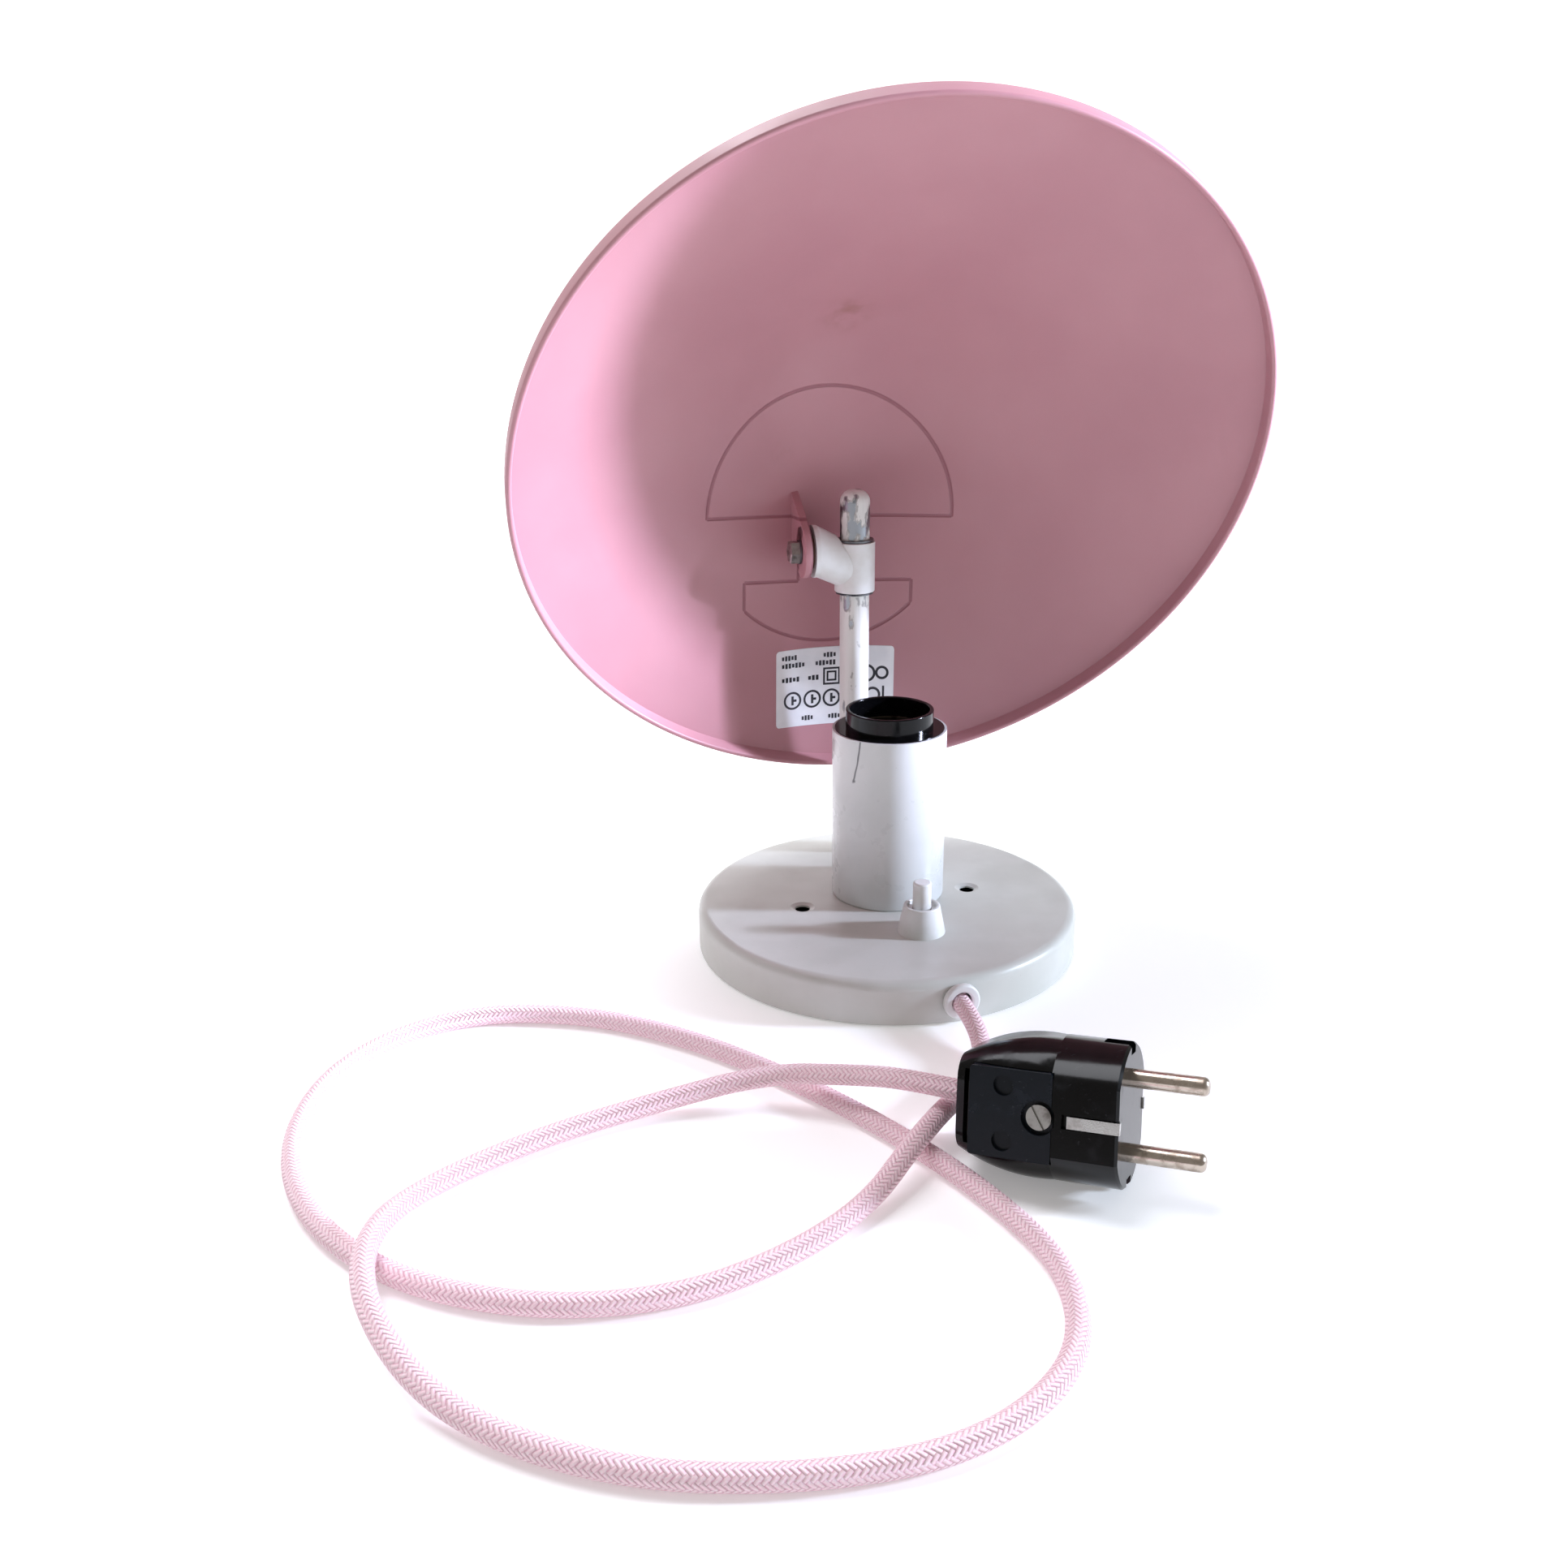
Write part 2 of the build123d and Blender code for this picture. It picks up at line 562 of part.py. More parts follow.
HEAD_T = 3.4
with BuildPart() as hinge_screw:
    with BuildSketch(within(CLIP, (WASHER_X - 0.6 - HEAD_T, 0, HINGE_Z), (0, 1, 0), (1, 0, 0))):
        RegularPolygon(3.6, 6, major_radius=False)
    extrude(amount=HEAD_T)
    chamfer(hinge_screw.faces().sort_by(line_axis(CLIP, (0, 0, 0), (1, 0, 0)))[0].edges(), 0.5)
    with BuildSketch(within(CLIP, (WASHER_X - 0.6, 0, HINGE_Z), (0, 1, 0), (1, 0, 0))):
        Circle(SCREW_R)
    extrude(amount=DISC_X + 6.5 - WASHER_X + 0.6)
save("hinge_screw", hinge_screw.part)

# ---------------------------------------------------------------- shade
SLOPE = radians(SHADE_SLOPE)
SHADE_AXIS = line_axis(SHADE, (0, 0, 0), (0, 0, 1))
CONE_DEPTH = (SHADE_R - SHADE_T) * tan(SLOPE)  # of the inner cone, to its point
MERIDIAN = within(SHADE, (0, 0, 0), (1, 0, 0), (0, 1, 0))  # its y runs towards the opening


def dish_depth(radius, shift=0.0):
    """Depth of the inner surface at this distance from the axis, moved out by shift."""
    blend_end = APEX_R * sin(SLOPE)
    edge = LIP + (SHADE_R - SHADE_T - radius) * tan(SLOPE)
    if radius >= blend_end:
        return edge + shift / cos(SLOPE)
    top = LIP + (SHADE_R - SHADE_T - blend_end) * tan(SLOPE)
    return top + APEX_R * (cos(atan2(radius, (APEX_R**2 - radius**2) ** 0.5)) - cos(SLOPE)) + shift


def dish_profile(inner, outer, lip):
    """Half section of a dish wall between two offsets of the inner surface."""
    with BuildSketch(MERIDIAN) as half_section:
        with BuildLine():
            points = []
            for shift in (inner, outer):
                bend = (APEX_R + shift) * sin(SLOPE)
                base = LIP + CONE_DEPTH - (APEX_R * sin(SLOPE)) * tan(SLOPE)
                middle = base - APEX_R * cos(SLOPE)
                knee = middle + (APEX_R + shift) * cos(SLOPE)
                half_way = (APEX_R + shift) * sin(SLOPE / 2)
                crown = middle + (APEX_R + shift) * cos(SLOPE / 2)
                tip = middle + APEX_R + shift
                edge_r = SHADE_R - SHADE_T + shift
                edge_z = knee - (edge_r - bend) * tan(SLOPE)
                points.append((bend, knee, half_way, crown, tip, edge_r, edge_z))
            (b0, k0, h0, c0, t0, e0, z0), (b1, k1, h1, c1, t1, e1, z1) = points
            ThreePointArc((0, -t0), (h0, -c0), (b0, -k0))
            Line((b0, -k0), (e0, -z0))
            if lip:
                Line((e0, -z0), (e0, 0))
                Line((e0, 0), (e1, 0))
                Line((e1, 0), (e1, -z1))
            else:
                Line((e0, -z0), (e1, -z1))
            Line((e1, -z1), (b1, -k1))
            ThreePointArc((b1, -k1), (h1, -c1), (0, -t1))
            Line((0, -t1), (0, -t0))
        make_face()
    return half_section.sketch


HINGE_DROP = -SHADE_Y * TILT_SIN + (SHADE_Z - HINGE_Z) * TILT_COS  # below the shade's axis
HINGE_DEPTH = -SHADE_Y * TILT_COS - (SHADE_Z - HINGE_Z) * TILT_SIN  # behind the rim's plane
EAR_SIDE = EAR_X - SHADE_X  # inner face of the ear from the shade's middle

with BuildPart() as shade:
    add(dish_profile(0.0, SHADE_T, lip=True))
    revolve(axis=SHADE_AXIS)
    rim = shade.edges().filter_by(GeomType.CIRCLE).sort_by(SHADE_AXIS)[:2]
    fillet(rim, 0.8)
    with BuildSketch(within(SHADE, (EAR_SIDE - EAR_T, 0, 0), (0, 1, 0), (1, 0, 0))):
        with Locations((HINGE_DROP, HINGE_DEPTH)):
            Circle(HINGE_R)
        corners = []
        for drop in (HINGE_DROP - HINGE_R, HINGE_DROP + HINGE_R):
            far = hypot(drop, EAR_SIDE)
            corners.append((drop, dish_depth(far, 0.5)))
        with BuildLine():
            Polyline(
                (HINGE_DROP - HINGE_R, HINGE_DEPTH), corners[0], corners[1],
                (HINGE_DROP + HINGE_R, HINGE_DEPTH), close=True,
            )
        make_face()
    extrude(amount=EAR_T)
    with BuildSketch(within(SHADE, (EAR_SIDE - EAR_T - 1, HINGE_DROP, HINGE_DEPTH), (0, 1, 0), (1, 0, 0))):
        Circle(SCREW_R + LOOSE)
    extrude(amount=EAR_T + 2, mode=Mode.SUBTRACT)
save("shade", shade.part)

LABEL_W = 45.0
LABEL_H = 29.0
LABEL_DROP = 98.4
LABEL_SIDE = -7.25
LABEL_TURN = 1.8
with BuildPart() as rating_label:
    add(dish_profile(-0.2, -0.02, lip=False))
    revolve(axis=SHADE_AXIS)
    with BuildSketch(within(SHADE, (LABEL_SIDE, LABEL_DROP, -20), (1, 0, 0), (0, 0, 1))):
        RectangleRounded(LABEL_W, LABEL_H * cos(SLOPE), 1.2, rotation=LABEL_TURN)
    extrude(amount=120, mode=Mode.INTERSECT)
save("rating_label", rating_label.part)

# ---------------------------------------------------------------- plug
FACE_LENGTH = 17.0  # of the round front part
LID_SCREW_X = -19.9
LID_RECESS_R = 4.4  # round recess of the lid's screw
# the grip behind the round part: distance from the face, depth, height and corner radius
GRIP_SECTIONS = [(PLUG_LENGTH, 25, 24.6, 6), (35, 28.4, 31.2, 9), (FACE_LENGTH, 32, 36, 14)]
with BuildPart() as plug_body:
    with BuildSketch(plug_plane(-FACE_LENGTH)):
        Circle(PLUG_R)
        Rectangle(32, 2 * PLUG_R, mode=Mode.INTERSECT)
    extrude(amount=FACE_LENGTH)
    chamfer(plug_body.faces().sort_by(line_axis(PLUG, (0, 0, 0), (1, 0, 0)))[-1].edges(), 0.7)
    for back, deep, tall, corner in GRIP_SECTIONS:
        with BuildSketch(plug_plane(-back)):
            RectangleRounded(deep, tall, corner)
    loft()
    # guide notches beside the pins
    for side in (-1, 1):
        with BuildSketch(plug_plane(-7, 0, side * (PLUG_R - 0.6))):
            Rectangle(5.4, 4.4)
        extrude(amount=9, mode=Mode.SUBTRACT)
    # channels of the earth clips
    for side in (-1, 1):
        with BuildSketch(plug_plane(-14, side * 16, 0)):
            Rectangle(3.0, 3.6)
        extrude(amount=16, mode=Mode.SUBTRACT)
    # seat of the lid, and the room for the terminals behind it
    with BuildSketch(within(PLUG, (-27.2, -17, 0), (1, 0, 0), (0, 1, 0))):
        Rectangle(21.6, 23)
    extrude(amount=5, mode=Mode.SUBTRACT)
    with BuildSketch(within(PLUG, (-27.2, -13, 0), (1, 0, 0), (0, 1, 0))):
        Rectangle(18, 19)
    extrude(amount=18, mode=Mode.SUBTRACT)
    # the lid screw's recess, which reaches past the lid's edge, and its thread
    for start, radius, deep in ((-17, LID_RECESS_R, 3.2), (-13, 1.72, 12)):
        with BuildSketch(within(PLUG, (LID_SCREW_X, start, 0), (1, 0, 0), (0, 1, 0))):
            Circle(radius)
        extrude(amount=deep, mode=Mode.SUBTRACT)
    # cord entry and the pins' holes
    with BuildSketch(plug_plane(-PLUG_LENGTH)):
        Circle(CORD_R + 0.05)
    extrude(amount=8, mode=Mode.SUBTRACT)
    with BuildSketch(plug_plane(-20)):
        with Locations((0, -PIN_GAP), (0, PIN_GAP)):
            Circle(PIN_SHANK_R + 0.02)
    extrude(amount=30, mode=Mode.SUBTRACT)
    with BuildSketch(plug_plane(-38.6 - 1.3, -12, 0)):
        Rectangle(6, 19)
    extrude(amount=1.3, mode=Mode.SUBTRACT)
save("plug_body", plug_body.part)

with BuildPart() as plug_lid:
    with BuildSketch(within(PLUG, (-27.2, -12.05, 0), (1, 0, 0), (0, 1, 0))):
        RectangleRounded(21.2, 22.6, 0.8)
    extrude(amount=-3.6)
    with BuildSketch(within(PLUG, (-29, -15.65, 0), (1, 0, 0), (0, 1, 0))):
        with Locations((0, -7), (0, 7)):
            Circle(2.6)
    extrude(amount=1.2, mode=Mode.SUBTRACT)
    with BuildSketch(within(PLUG, (LID_SCREW_X, -15.65, 0), (1, 0, 0), (0, 1, 0))):
        Circle(LID_RECESS_R)
    extrude(amount=1.8, mode=Mode.SUBTRACT)
    with BuildSketch(within(PLUG, (LID_SCREW_X, -15.65, 0), (1, 0, 0), (0, 1, 0))):
        Circle(1.8)
    extrude(amount=6, mode=Mode.SUBTRACT)
save("plug_lid", plug_lid.part)

with BuildPart() as plug_screw:
    with BuildSketch(within(PLUG, (LID_SCREW_X, -15.2, 0), (1, 0, 0), (0, 1, 0))):
        Circle(3.2)
    extrude(amount=1.35)
    with BuildSketch(within(PLUG, (LID_SCREW_X, -15.3, 0), (1, 0, 0), (0, 1, 0))):
        Rectangle(9, 0.9, rotation=60)
    extrude(amount=0.7, mode=Mode.SUBTRACT)
    with BuildSketch(within(PLUG, (LID_SCREW_X, -13.9, 0), (1, 0, 0), (0, 1, 0))):
        Circle(1.7)
    extrude(amount=12)
save("plug_screw", plug_screw.part)

with BuildPart() as plug_pins:
    for side in (-1, 1):
        with BuildSketch(plug_plane(-20, 0, side * PIN_GAP)):
            Circle(PIN_SHANK_R)
        extrude(amount=20)
        with BuildSketch(plug_plane(0, 0, side * PIN_GAP)):
            Circle(PIN_R)
        extrude(amount=PIN_LENGTH)
    tips = plug_pins.edges().filter_by(GeomType.CIRCLE).group_by(line_axis(PLUG, (0, 0, 0), (1, 0, 0)))[-1]
    fillet(tips, 1.6)
save("plug_pins", plug_pins.part)

with BuildPart() as pin_terminals:
    for side in (-1, 1):
        with BuildSketch(plug_plane(-27, 0, side * 6.6)):
            Rectangle(6, 5)
        extrude(amount=7)
save("pin_terminals", pin_terminals.part)

with BuildPart() as earth_clips:
    for side in (-1, 1):
        with BuildSketch(plug_plane(-12.6, side * 15.9, 0)):
            Rectangle(0.9, 3.0)
        extrude(amount=13)
        with BuildSketch(plug_plane(-0.6, side * 15.2, 0)):
            Rectangle(1.0, 3.0)
        extrude(amount=1.0)
save("earth_clips", earth_clips.part)

# ---------------------------------------------------------------- cord
FLOOR = CORD_R + 0.05
ENTRY = PLUG.origin + direction(PLUG, (-PLUG_LENGTH + 5, 0, 0))
cord_route = [
    (LINE_X, CORES_Y, CORD_Z),
    (LINE_X, -74, CORD_Z),
    (1, -90, 3.2),
    (-9, -107, 4.0),
    (-22, -121, 8.6),
    (-38, -138, 10.0),
    (-55, -152, 3.4),
    (-80, -166, FLOOR),
    (-108, -173, FLOOR),
    (-141, -167, FLOOR),
    (-172, -147, FLOOR),
    (-192, -115, FLOOR),
    (-196, -78, FLOOR),
    (-182, -42, FLOOR),
    (-149, -23, FLOOR),
    (-112, -32, FLOOR),
    (-82, -56, FLOOR),
    (-57, -89, FLOOR),
    (-38, -122, FLOOR),
    (-24, -155, FLOOR),
    (-17, -188, FLOOR),
    (-28, -217, FLOOR),
    (-58, -233, FLOOR),
    (-95, -231, FLOOR),
    (-131, -219, FLOOR),
    (-161, -195, 3.6),
    (-176, -165, 9.6),
    (-175, -138, 9.6),
    (-160, -114, 3.6),
    (-131, -99, FLOOR),
    (-97, -91, 3.6),
    (-66, -94.5, 9.8),
    (-45.6, -108.2, 13.8),
    (-34, -118.8, 17.0),
    tuple(ENTRY),
]
cord_radii = bend_radii(cord_route)
cord, cord_length = tube(cord_route, cord_radii, CORD_R)
save("cord", cord)
print("cord radii", [round(radius) for radius in cord_radii])
print("cord length", round(cord_length), "volume ratio", round(cord.volume / (pi * CORD_R**2 * cord_length), 4))
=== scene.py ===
"""Looks of a small table lamp with a tilting pink reflector shade.

Everything is in metres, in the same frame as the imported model: +Z up, the switch and the
cord exit towards -Y, and the origin under the middle of the round base.
"""

import logging
import math
from dataclasses import dataclass, field
from enum import Enum

import bmesh
import bpy
from mathutils import Matrix, Vector


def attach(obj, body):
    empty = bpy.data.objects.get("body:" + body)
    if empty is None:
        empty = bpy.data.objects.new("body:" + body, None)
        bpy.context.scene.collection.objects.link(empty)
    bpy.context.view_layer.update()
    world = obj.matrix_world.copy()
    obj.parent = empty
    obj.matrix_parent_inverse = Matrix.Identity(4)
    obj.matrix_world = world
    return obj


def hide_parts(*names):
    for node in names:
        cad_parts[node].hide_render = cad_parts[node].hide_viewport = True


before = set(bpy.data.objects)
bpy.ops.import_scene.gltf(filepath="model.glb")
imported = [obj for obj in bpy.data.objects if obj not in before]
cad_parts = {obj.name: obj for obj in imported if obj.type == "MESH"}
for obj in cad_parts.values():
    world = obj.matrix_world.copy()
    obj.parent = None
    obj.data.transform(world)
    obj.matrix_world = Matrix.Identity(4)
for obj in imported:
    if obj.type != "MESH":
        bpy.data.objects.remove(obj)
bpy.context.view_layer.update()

MM = 0.001
LOG = logging.getLogger("lamp")

Socket = bpy.types.NodeSocket
Colour = tuple[float, float, float, float]


class Body(Enum):
    """The moving bodies of the lamp."""

    LAMP = "lamp"
    BUTTON = "button"
    CARRIER = "carrier"
    CLIP = "clip"
    SHADE = "shade"


# ---------------------------------------------------------------- helpers
def linear(code: str) -> Colour:
    """Turns an sRGB hex colour into the linear colour that shaders work in.

    Args:
        code: six hex digits, with or without a leading hash.

    Returns:
        The linear red, green, blue and an alpha of 1.
    """
    digits = code.lstrip("#")
    channels = (int(digits[at : at + 2], 16) / 255 for at in (0, 2, 4))
    red, green, blue = (c / 12.92 if c <= 0.04045 else ((c + 0.055) / 1.055) ** 2.4 for c in channels)
    return red, green, blue, 1.0


def frame_matrix(origin: Vector, x_dir: Vector, z_dir: Vector) -> Matrix:
    """Gives the matrix that takes local coordinates to the lamp's frame.

    Args:
        origin: where the local origin is.
        x_dir: the local X axis, a unit vector.
        z_dir: the local Z axis, a unit vector at right angles to it.

    Returns:
        The 4x4 matrix.
    """
    y_dir = z_dir.cross(x_dir)
    return Matrix.Translation(origin) @ Matrix((x_dir, y_dir, z_dir)).transposed().to_4x4()


def add_node(
    tree: bpy.types.NodeTree, kind: str, inputs: dict | None = None, **settings: object
) -> bpy.types.Node:
    """Adds one node with its settings, constants and links.

    Args:
        tree: the node tree that gets it.
        kind: the node's class name without the ShaderNode part.
        inputs: for each input's name or number, a socket to link or a constant.
        settings: the node's own properties.

    Returns:
        The new node.
    """
    node = tree.nodes.new("ShaderNode" + kind)
    for name, value in settings.items():
        setattr(node, name, value)
    for key, value in (inputs or {}).items():
        if isinstance(value, Socket):
            tree.links.new(value, node.inputs[key])
        else:
            node.inputs[key].default_value = value
    return node


class Recipe:
    """A material under way: a principled surface, and short ways to the common patterns."""

    def __init__(self, name: str) -> None:
        """Starts a material of this name with an empty principled surface."""
        self.material = bpy.data.materials.new(name)
        self.material.use_nodes = True
        self.tree = self.material.node_tree
        self.tree.nodes.clear()
        self.surface = add_node(self.tree, "BsdfPrincipled")
        add_node(self.tree, "OutputMaterial", {"Surface": self.surface.outputs["BSDF"]})
        self.place = add_node(self.tree, "TexCoord").outputs["Object"]

    def math(self, operation: str, first: object, second: object = 0.0, clamp: bool = False) -> Socket:
        """One sum on two numbers or sockets, as a socket."""
        sum_node = add_node(self.tree, "Math", {0: first, 1: second}, operation=operation, use_clamp=clamp)
        return sum_node.outputs[0]

    def noise(
        self, size_mm: float, detail: float = 2.0, stretch: tuple = (1, 1, 1), place: Socket | None = None
    ) -> Socket:
        """Cloudy noise from 0 to 1.

        Args:
            size_mm: rough size of one blotch.
            detail: octaves of finer noise on it.
            stretch: how much denser the noise is along each axis.
            place: the coordinates, or None for the piece's own.

        Returns:
            The noise value's socket.
        """
        scaled = add_node(self.tree, "Mapping", {"Vector": place or self.place, "Scale": stretch})
        inputs = {"Vector": scaled.outputs[0], "Scale": 1 / (size_mm * MM), "Detail": detail}
        return add_node(self.tree, "TexNoise", inputs).outputs["Fac"]

    def ramp(self, value: Socket, low: float, high: float, start: float = 0.0, end: float = 1.0) -> Socket:
        """Maps low..high smoothly on start..end and stays level outside it."""
        inputs = {"Value": value, "From Min": low, "From Max": high, "To Min": start, "To Max": end}
        mapped = add_node(self.tree, "MapRange", inputs, interpolation_type="SMOOTHSTEP")
        return mapped.outputs[0]

    def mix(self, factor: Socket, first: object, second: object) -> Socket:
        """Mixes two colours, given as hex codes or sockets."""
        sides = [linear(side) if isinstance(side, str) else side for side in (first, second)]
        inputs = {0: factor, 6: sides[0], 7: sides[1]}
        return add_node(self.tree, "Mix", inputs, data_type="RGBA").outputs[2]

    def spot(self, at_mm: tuple, radius_mm: float, soft: float = 0.2) -> Socket:
        """1 inside a ball round a point of the lamp's frame and 0 outside, with a soft edge."""
        point = tuple(value * MM for value in at_mm)
        away = add_node(self.tree, "VectorMath", {0: self.place, 1: point}, operation="DISTANCE")
        edge = radius_mm * MM
        return self.ramp(away.outputs["Value"], edge * soft, edge, 1.0, 0.0)

    def local(self, matrix: Matrix) -> tuple[Socket, Socket, Socket]:
        """The piece's coordinates in a local frame, as three sockets in metres."""
        turn = tuple(matrix.to_euler("XYZ"))
        inputs = {"Vector": self.place, "Location": tuple(matrix.translation), "Rotation": turn}
        moved = add_node(self.tree, "Mapping", inputs, vector_type="TEXTURE").outputs[0]
        axes = add_node(self.tree, "SeparateXYZ", {0: moved})
        return axes.outputs[0], axes.outputs[1], axes.outputs[2]

    def bump(self, height: Socket, depth_mm: float, strength: float = 1.0) -> None:
        """Adds a relief to the surface, under any relief that it has already."""
        inputs = {"Height": height, "Distance": depth_mm * MM, "Strength": strength}
        if self.surface.inputs["Normal"].links:
            inputs["Normal"] = self.surface.inputs["Normal"].links[0].from_socket
        relief = add_node(self.tree, "Bump", inputs)
        self.tree.links.new(relief.outputs[0], self.surface.inputs["Normal"])

    def finish(self, **values: object) -> bpy.types.Material:
        """Sets the surface's sockets by name, with underscores for spaces, and gives the material."""
        for key, value in values.items():
            socket = self.surface.inputs[key.replace("_", " ")]
            if isinstance(value, Socket):
                self.tree.links.new(value, socket)
            else:
                socket.default_value = linear(value) if isinstance(value, str) else value
        return self.material


def dress(node: str, material: bpy.types.Material) -> None:
    """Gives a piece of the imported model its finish.

    Args:
        node: the piece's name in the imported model.
        material: the finish.
    """
    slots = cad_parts[node].data.materials
    slots.clear()
    slots.append(material)
    LOG.info("%s wears %s", node, material.name)


def new_piece(
    name: str, shape: bmesh.types.BMesh, material: bpy.types.Material, body: Body
) -> bpy.types.Object:
    """Turns a finished bmesh into a smooth-shaded piece that rides on a body.

    Args:
        name: the piece's name.
        shape: its mesh, in the lamp's frame; it is freed.
        material: its finish.
        body: the body that it moves with.

    Returns:
        The new object.
    """
    mesh = bpy.data.meshes.new(name)
    shape.to_mesh(mesh)
    shape.free()
    mesh.materials.append(material)
    mesh.polygons.foreach_set("use_smooth", [True] * len(mesh.polygons))
    piece = bpy.data.objects.new(name, mesh)
    bpy.context.scene.collection.objects.link(piece)
    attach(piece, body.value)
    LOG.info("%s: %d faces", name, len(mesh.polygons))
    return piece


# ---------------------------------------------------------------- camera, light and floor
@dataclass(frozen=True)
class Camera:
    """A hand-held view from the front left, a little above the shade's middle."""

    place: Vector = field(default_factory=lambda: Vector((-0.15128, -0.44579, 0.22453)))
    ahead: Vector = field(default_factory=lambda: Vector((0.23568, 0.91198, -0.33579)))
    above: Vector = field(default_factory=lambda: Vector((0.09470, 0.32233, 0.94188)))
    lens_mm: float = 33.82
    sensor_mm: float = 36.0

    def build(self) -> None:
        """Makes the camera and sets it as the scene's own."""
        data = bpy.data.cameras.new("camera")
        data.lens = self.lens_mm
        data.sensor_width = self.sensor_mm
        data.clip_start = 0.01
        data.clip_end = 20.0
        camera = bpy.data.objects.new("camera", data)
        right = self.ahead.cross(self.above).normalized()
        above = right.cross(self.ahead).normalized()
        turn = Matrix((right, above, -self.ahead.normalized())).transposed()
        camera.matrix_world = Matrix.Translation(self.place) @ turn.to_4x4()
        bpy.context.scene.collection.objects.link(camera)
        bpy.context.scene.camera = camera


@dataclass(frozen=True)
class Lamp:
    """One soft light, with its power in watts and its sides in metres; with a cone, it is a round snoot."""

    name: str
    place: tuple[float, float, float]
    aim: tuple[float, float, float]
    power: float
    sides: tuple[float, float]
    colour: str = "#FFFFFF"
    cone_deg: float = 0.0

    def build(self) -> None:
        """Makes the light and turns it to its aim."""
        data = bpy.data.lights.new(self.name, "SPOT" if self.cone_deg else "AREA")
        if self.cone_deg:
            data.spot_size = math.radians(self.cone_deg)
            data.spot_blend = 0.6
            data.shadow_soft_size = self.sides[0] / 2
        else:
            data.shape = "RECTANGLE"
            data.size, data.size_y = self.sides
        data.energy = self.power
        data.color = linear(self.colour)[:3]
        light = bpy.data.objects.new(self.name, data)
        away = Vector(self.aim) - Vector(self.place)
        light.location = self.place
        light.rotation_euler = away.to_track_quat("-Z", "Y").to_euler()
        bpy.context.scene.collection.objects.link(light)


@dataclass(frozen=True)
class Studio:
    """A pale floor that runs up into a wall, one large window light and weak fills."""

    floor_side: float = 6.0
    wall_at: float = 2.4
    bend: float = 0.8
    world: str = "#FFF9F3"
    world_strength: float = 0.34
    lights: tuple[Lamp, ...] = (
        Lamp("window", (1.45, -0.48, 0.54), (0.0, 0.0, 0.13), 30.0, (0.18, 0.26), "#DCEBFF"),
        Lamp("snoot", (1.43, -0.47, 0.54), (-0.09, -0.01, 0.150), 330.0, (0.11, 0.11), "#DCDFFF", 10.0),
        Lamp("sky", (-0.35, 0.55, 1.5), (0.0, 0.0, 0.1), 26.0, (1.0, 1.0), "#F6F8FF"),
    )

    def build(self) -> None:
        """Makes the floor with its curved back, the lights and the surrounding light."""
        self._floor()
        for light in self.lights:
            light.build()
        world = bpy.data.worlds.new("surround")
        world.use_nodes = True
        world.node_tree.nodes["Background"].inputs["Color"].default_value = linear(self.world)
        world.node_tree.nodes["Background"].inputs["Strength"].default_value = self.world_strength
        bpy.context.scene.world = world
        bpy.context.scene.view_settings.view_transform = "Standard"

    def _floor(self) -> None:
        """Makes one sheet: level to the back, then a quarter bend and a wall."""
        shape = bmesh.new()
        half = self.floor_side / 2
        front = [shape.verts.new((side * half, -half, 0.0)) for side in (-1, 1)]
        edge = shape.edges.new(front)
        grown = bmesh.ops.extrude_edge_only(shape, edges=[edge])
        moved = [part for part in grown["geom"] if isinstance(part, bmesh.types.BMVert)]
        bmesh.ops.translate(shape, verts=moved, vec=(0, half + self.wall_at, 0))
        last = [part for part in grown["geom"] if isinstance(part, bmesh.types.BMEdge)]
        centre = Vector((0, self.wall_at, self.bend))
        spun = bmesh.ops.spin(
            shape,
            geom=last + moved,
            cent=centre,
            axis=(1, 0, 0),
            angle=math.pi / 2,
            steps=16,
            use_duplicate=False,
        )
        top = [part for part in spun["geom_last"] if isinstance(part, bmesh.types.BMEdge)]
        wall = bmesh.ops.extrude_edge_only(shape, edges=top)
        risen = [part for part in wall["geom"] if isinstance(part, bmesh.types.BMVert)]
        bmesh.ops.translate(shape, verts=risen, vec=(0, 0, 2.0))
        bmesh.ops.recalc_face_normals(shape, faces=shape.faces)
        mesh = bpy.data.meshes.new("studio_floor")
        shape.to_mesh(mesh)
        shape.free()
        mesh.polygons.foreach_set("use_smooth", [True] * len(mesh.polygons))
        mesh.materials.append(PaleBackdrop().make())
        floor = bpy.data.objects.new("studio_floor", mesh)
        bpy.context.scene.collection.objects.link(floor)


# ---------------------------------------------------------------- finishes
@dataclass(frozen=True)
class PaleBackdrop:
    """Seamless studio paper: matte, almost white, with a trace of tooth. It also glows, weakly near the
    lamp and more towards the wall, as painted light.
    """

    paper: str = "#F6F6F7"

    def make(self) -> bpy.types.Material:
        """Gives the floor's material."""
        recipe = Recipe("backdrop_paper")
        back = add_node(recipe.tree, "SeparateXYZ", {0: recipe.place}).outputs[1]
        # painted light: the paper glows, weakly near the lamp and more towards the wall
        glow = recipe.ramp(back, 0.2, 2.0, 0.26, 0.75)
        paper = recipe.mix(recipe.noise(400.0), self.paper, "#F9F9FA")
        return recipe.finish(
            Base_Color=paper, Roughness=0.95, Emission_Color=self.paper, Emission_Strength=glow
        )


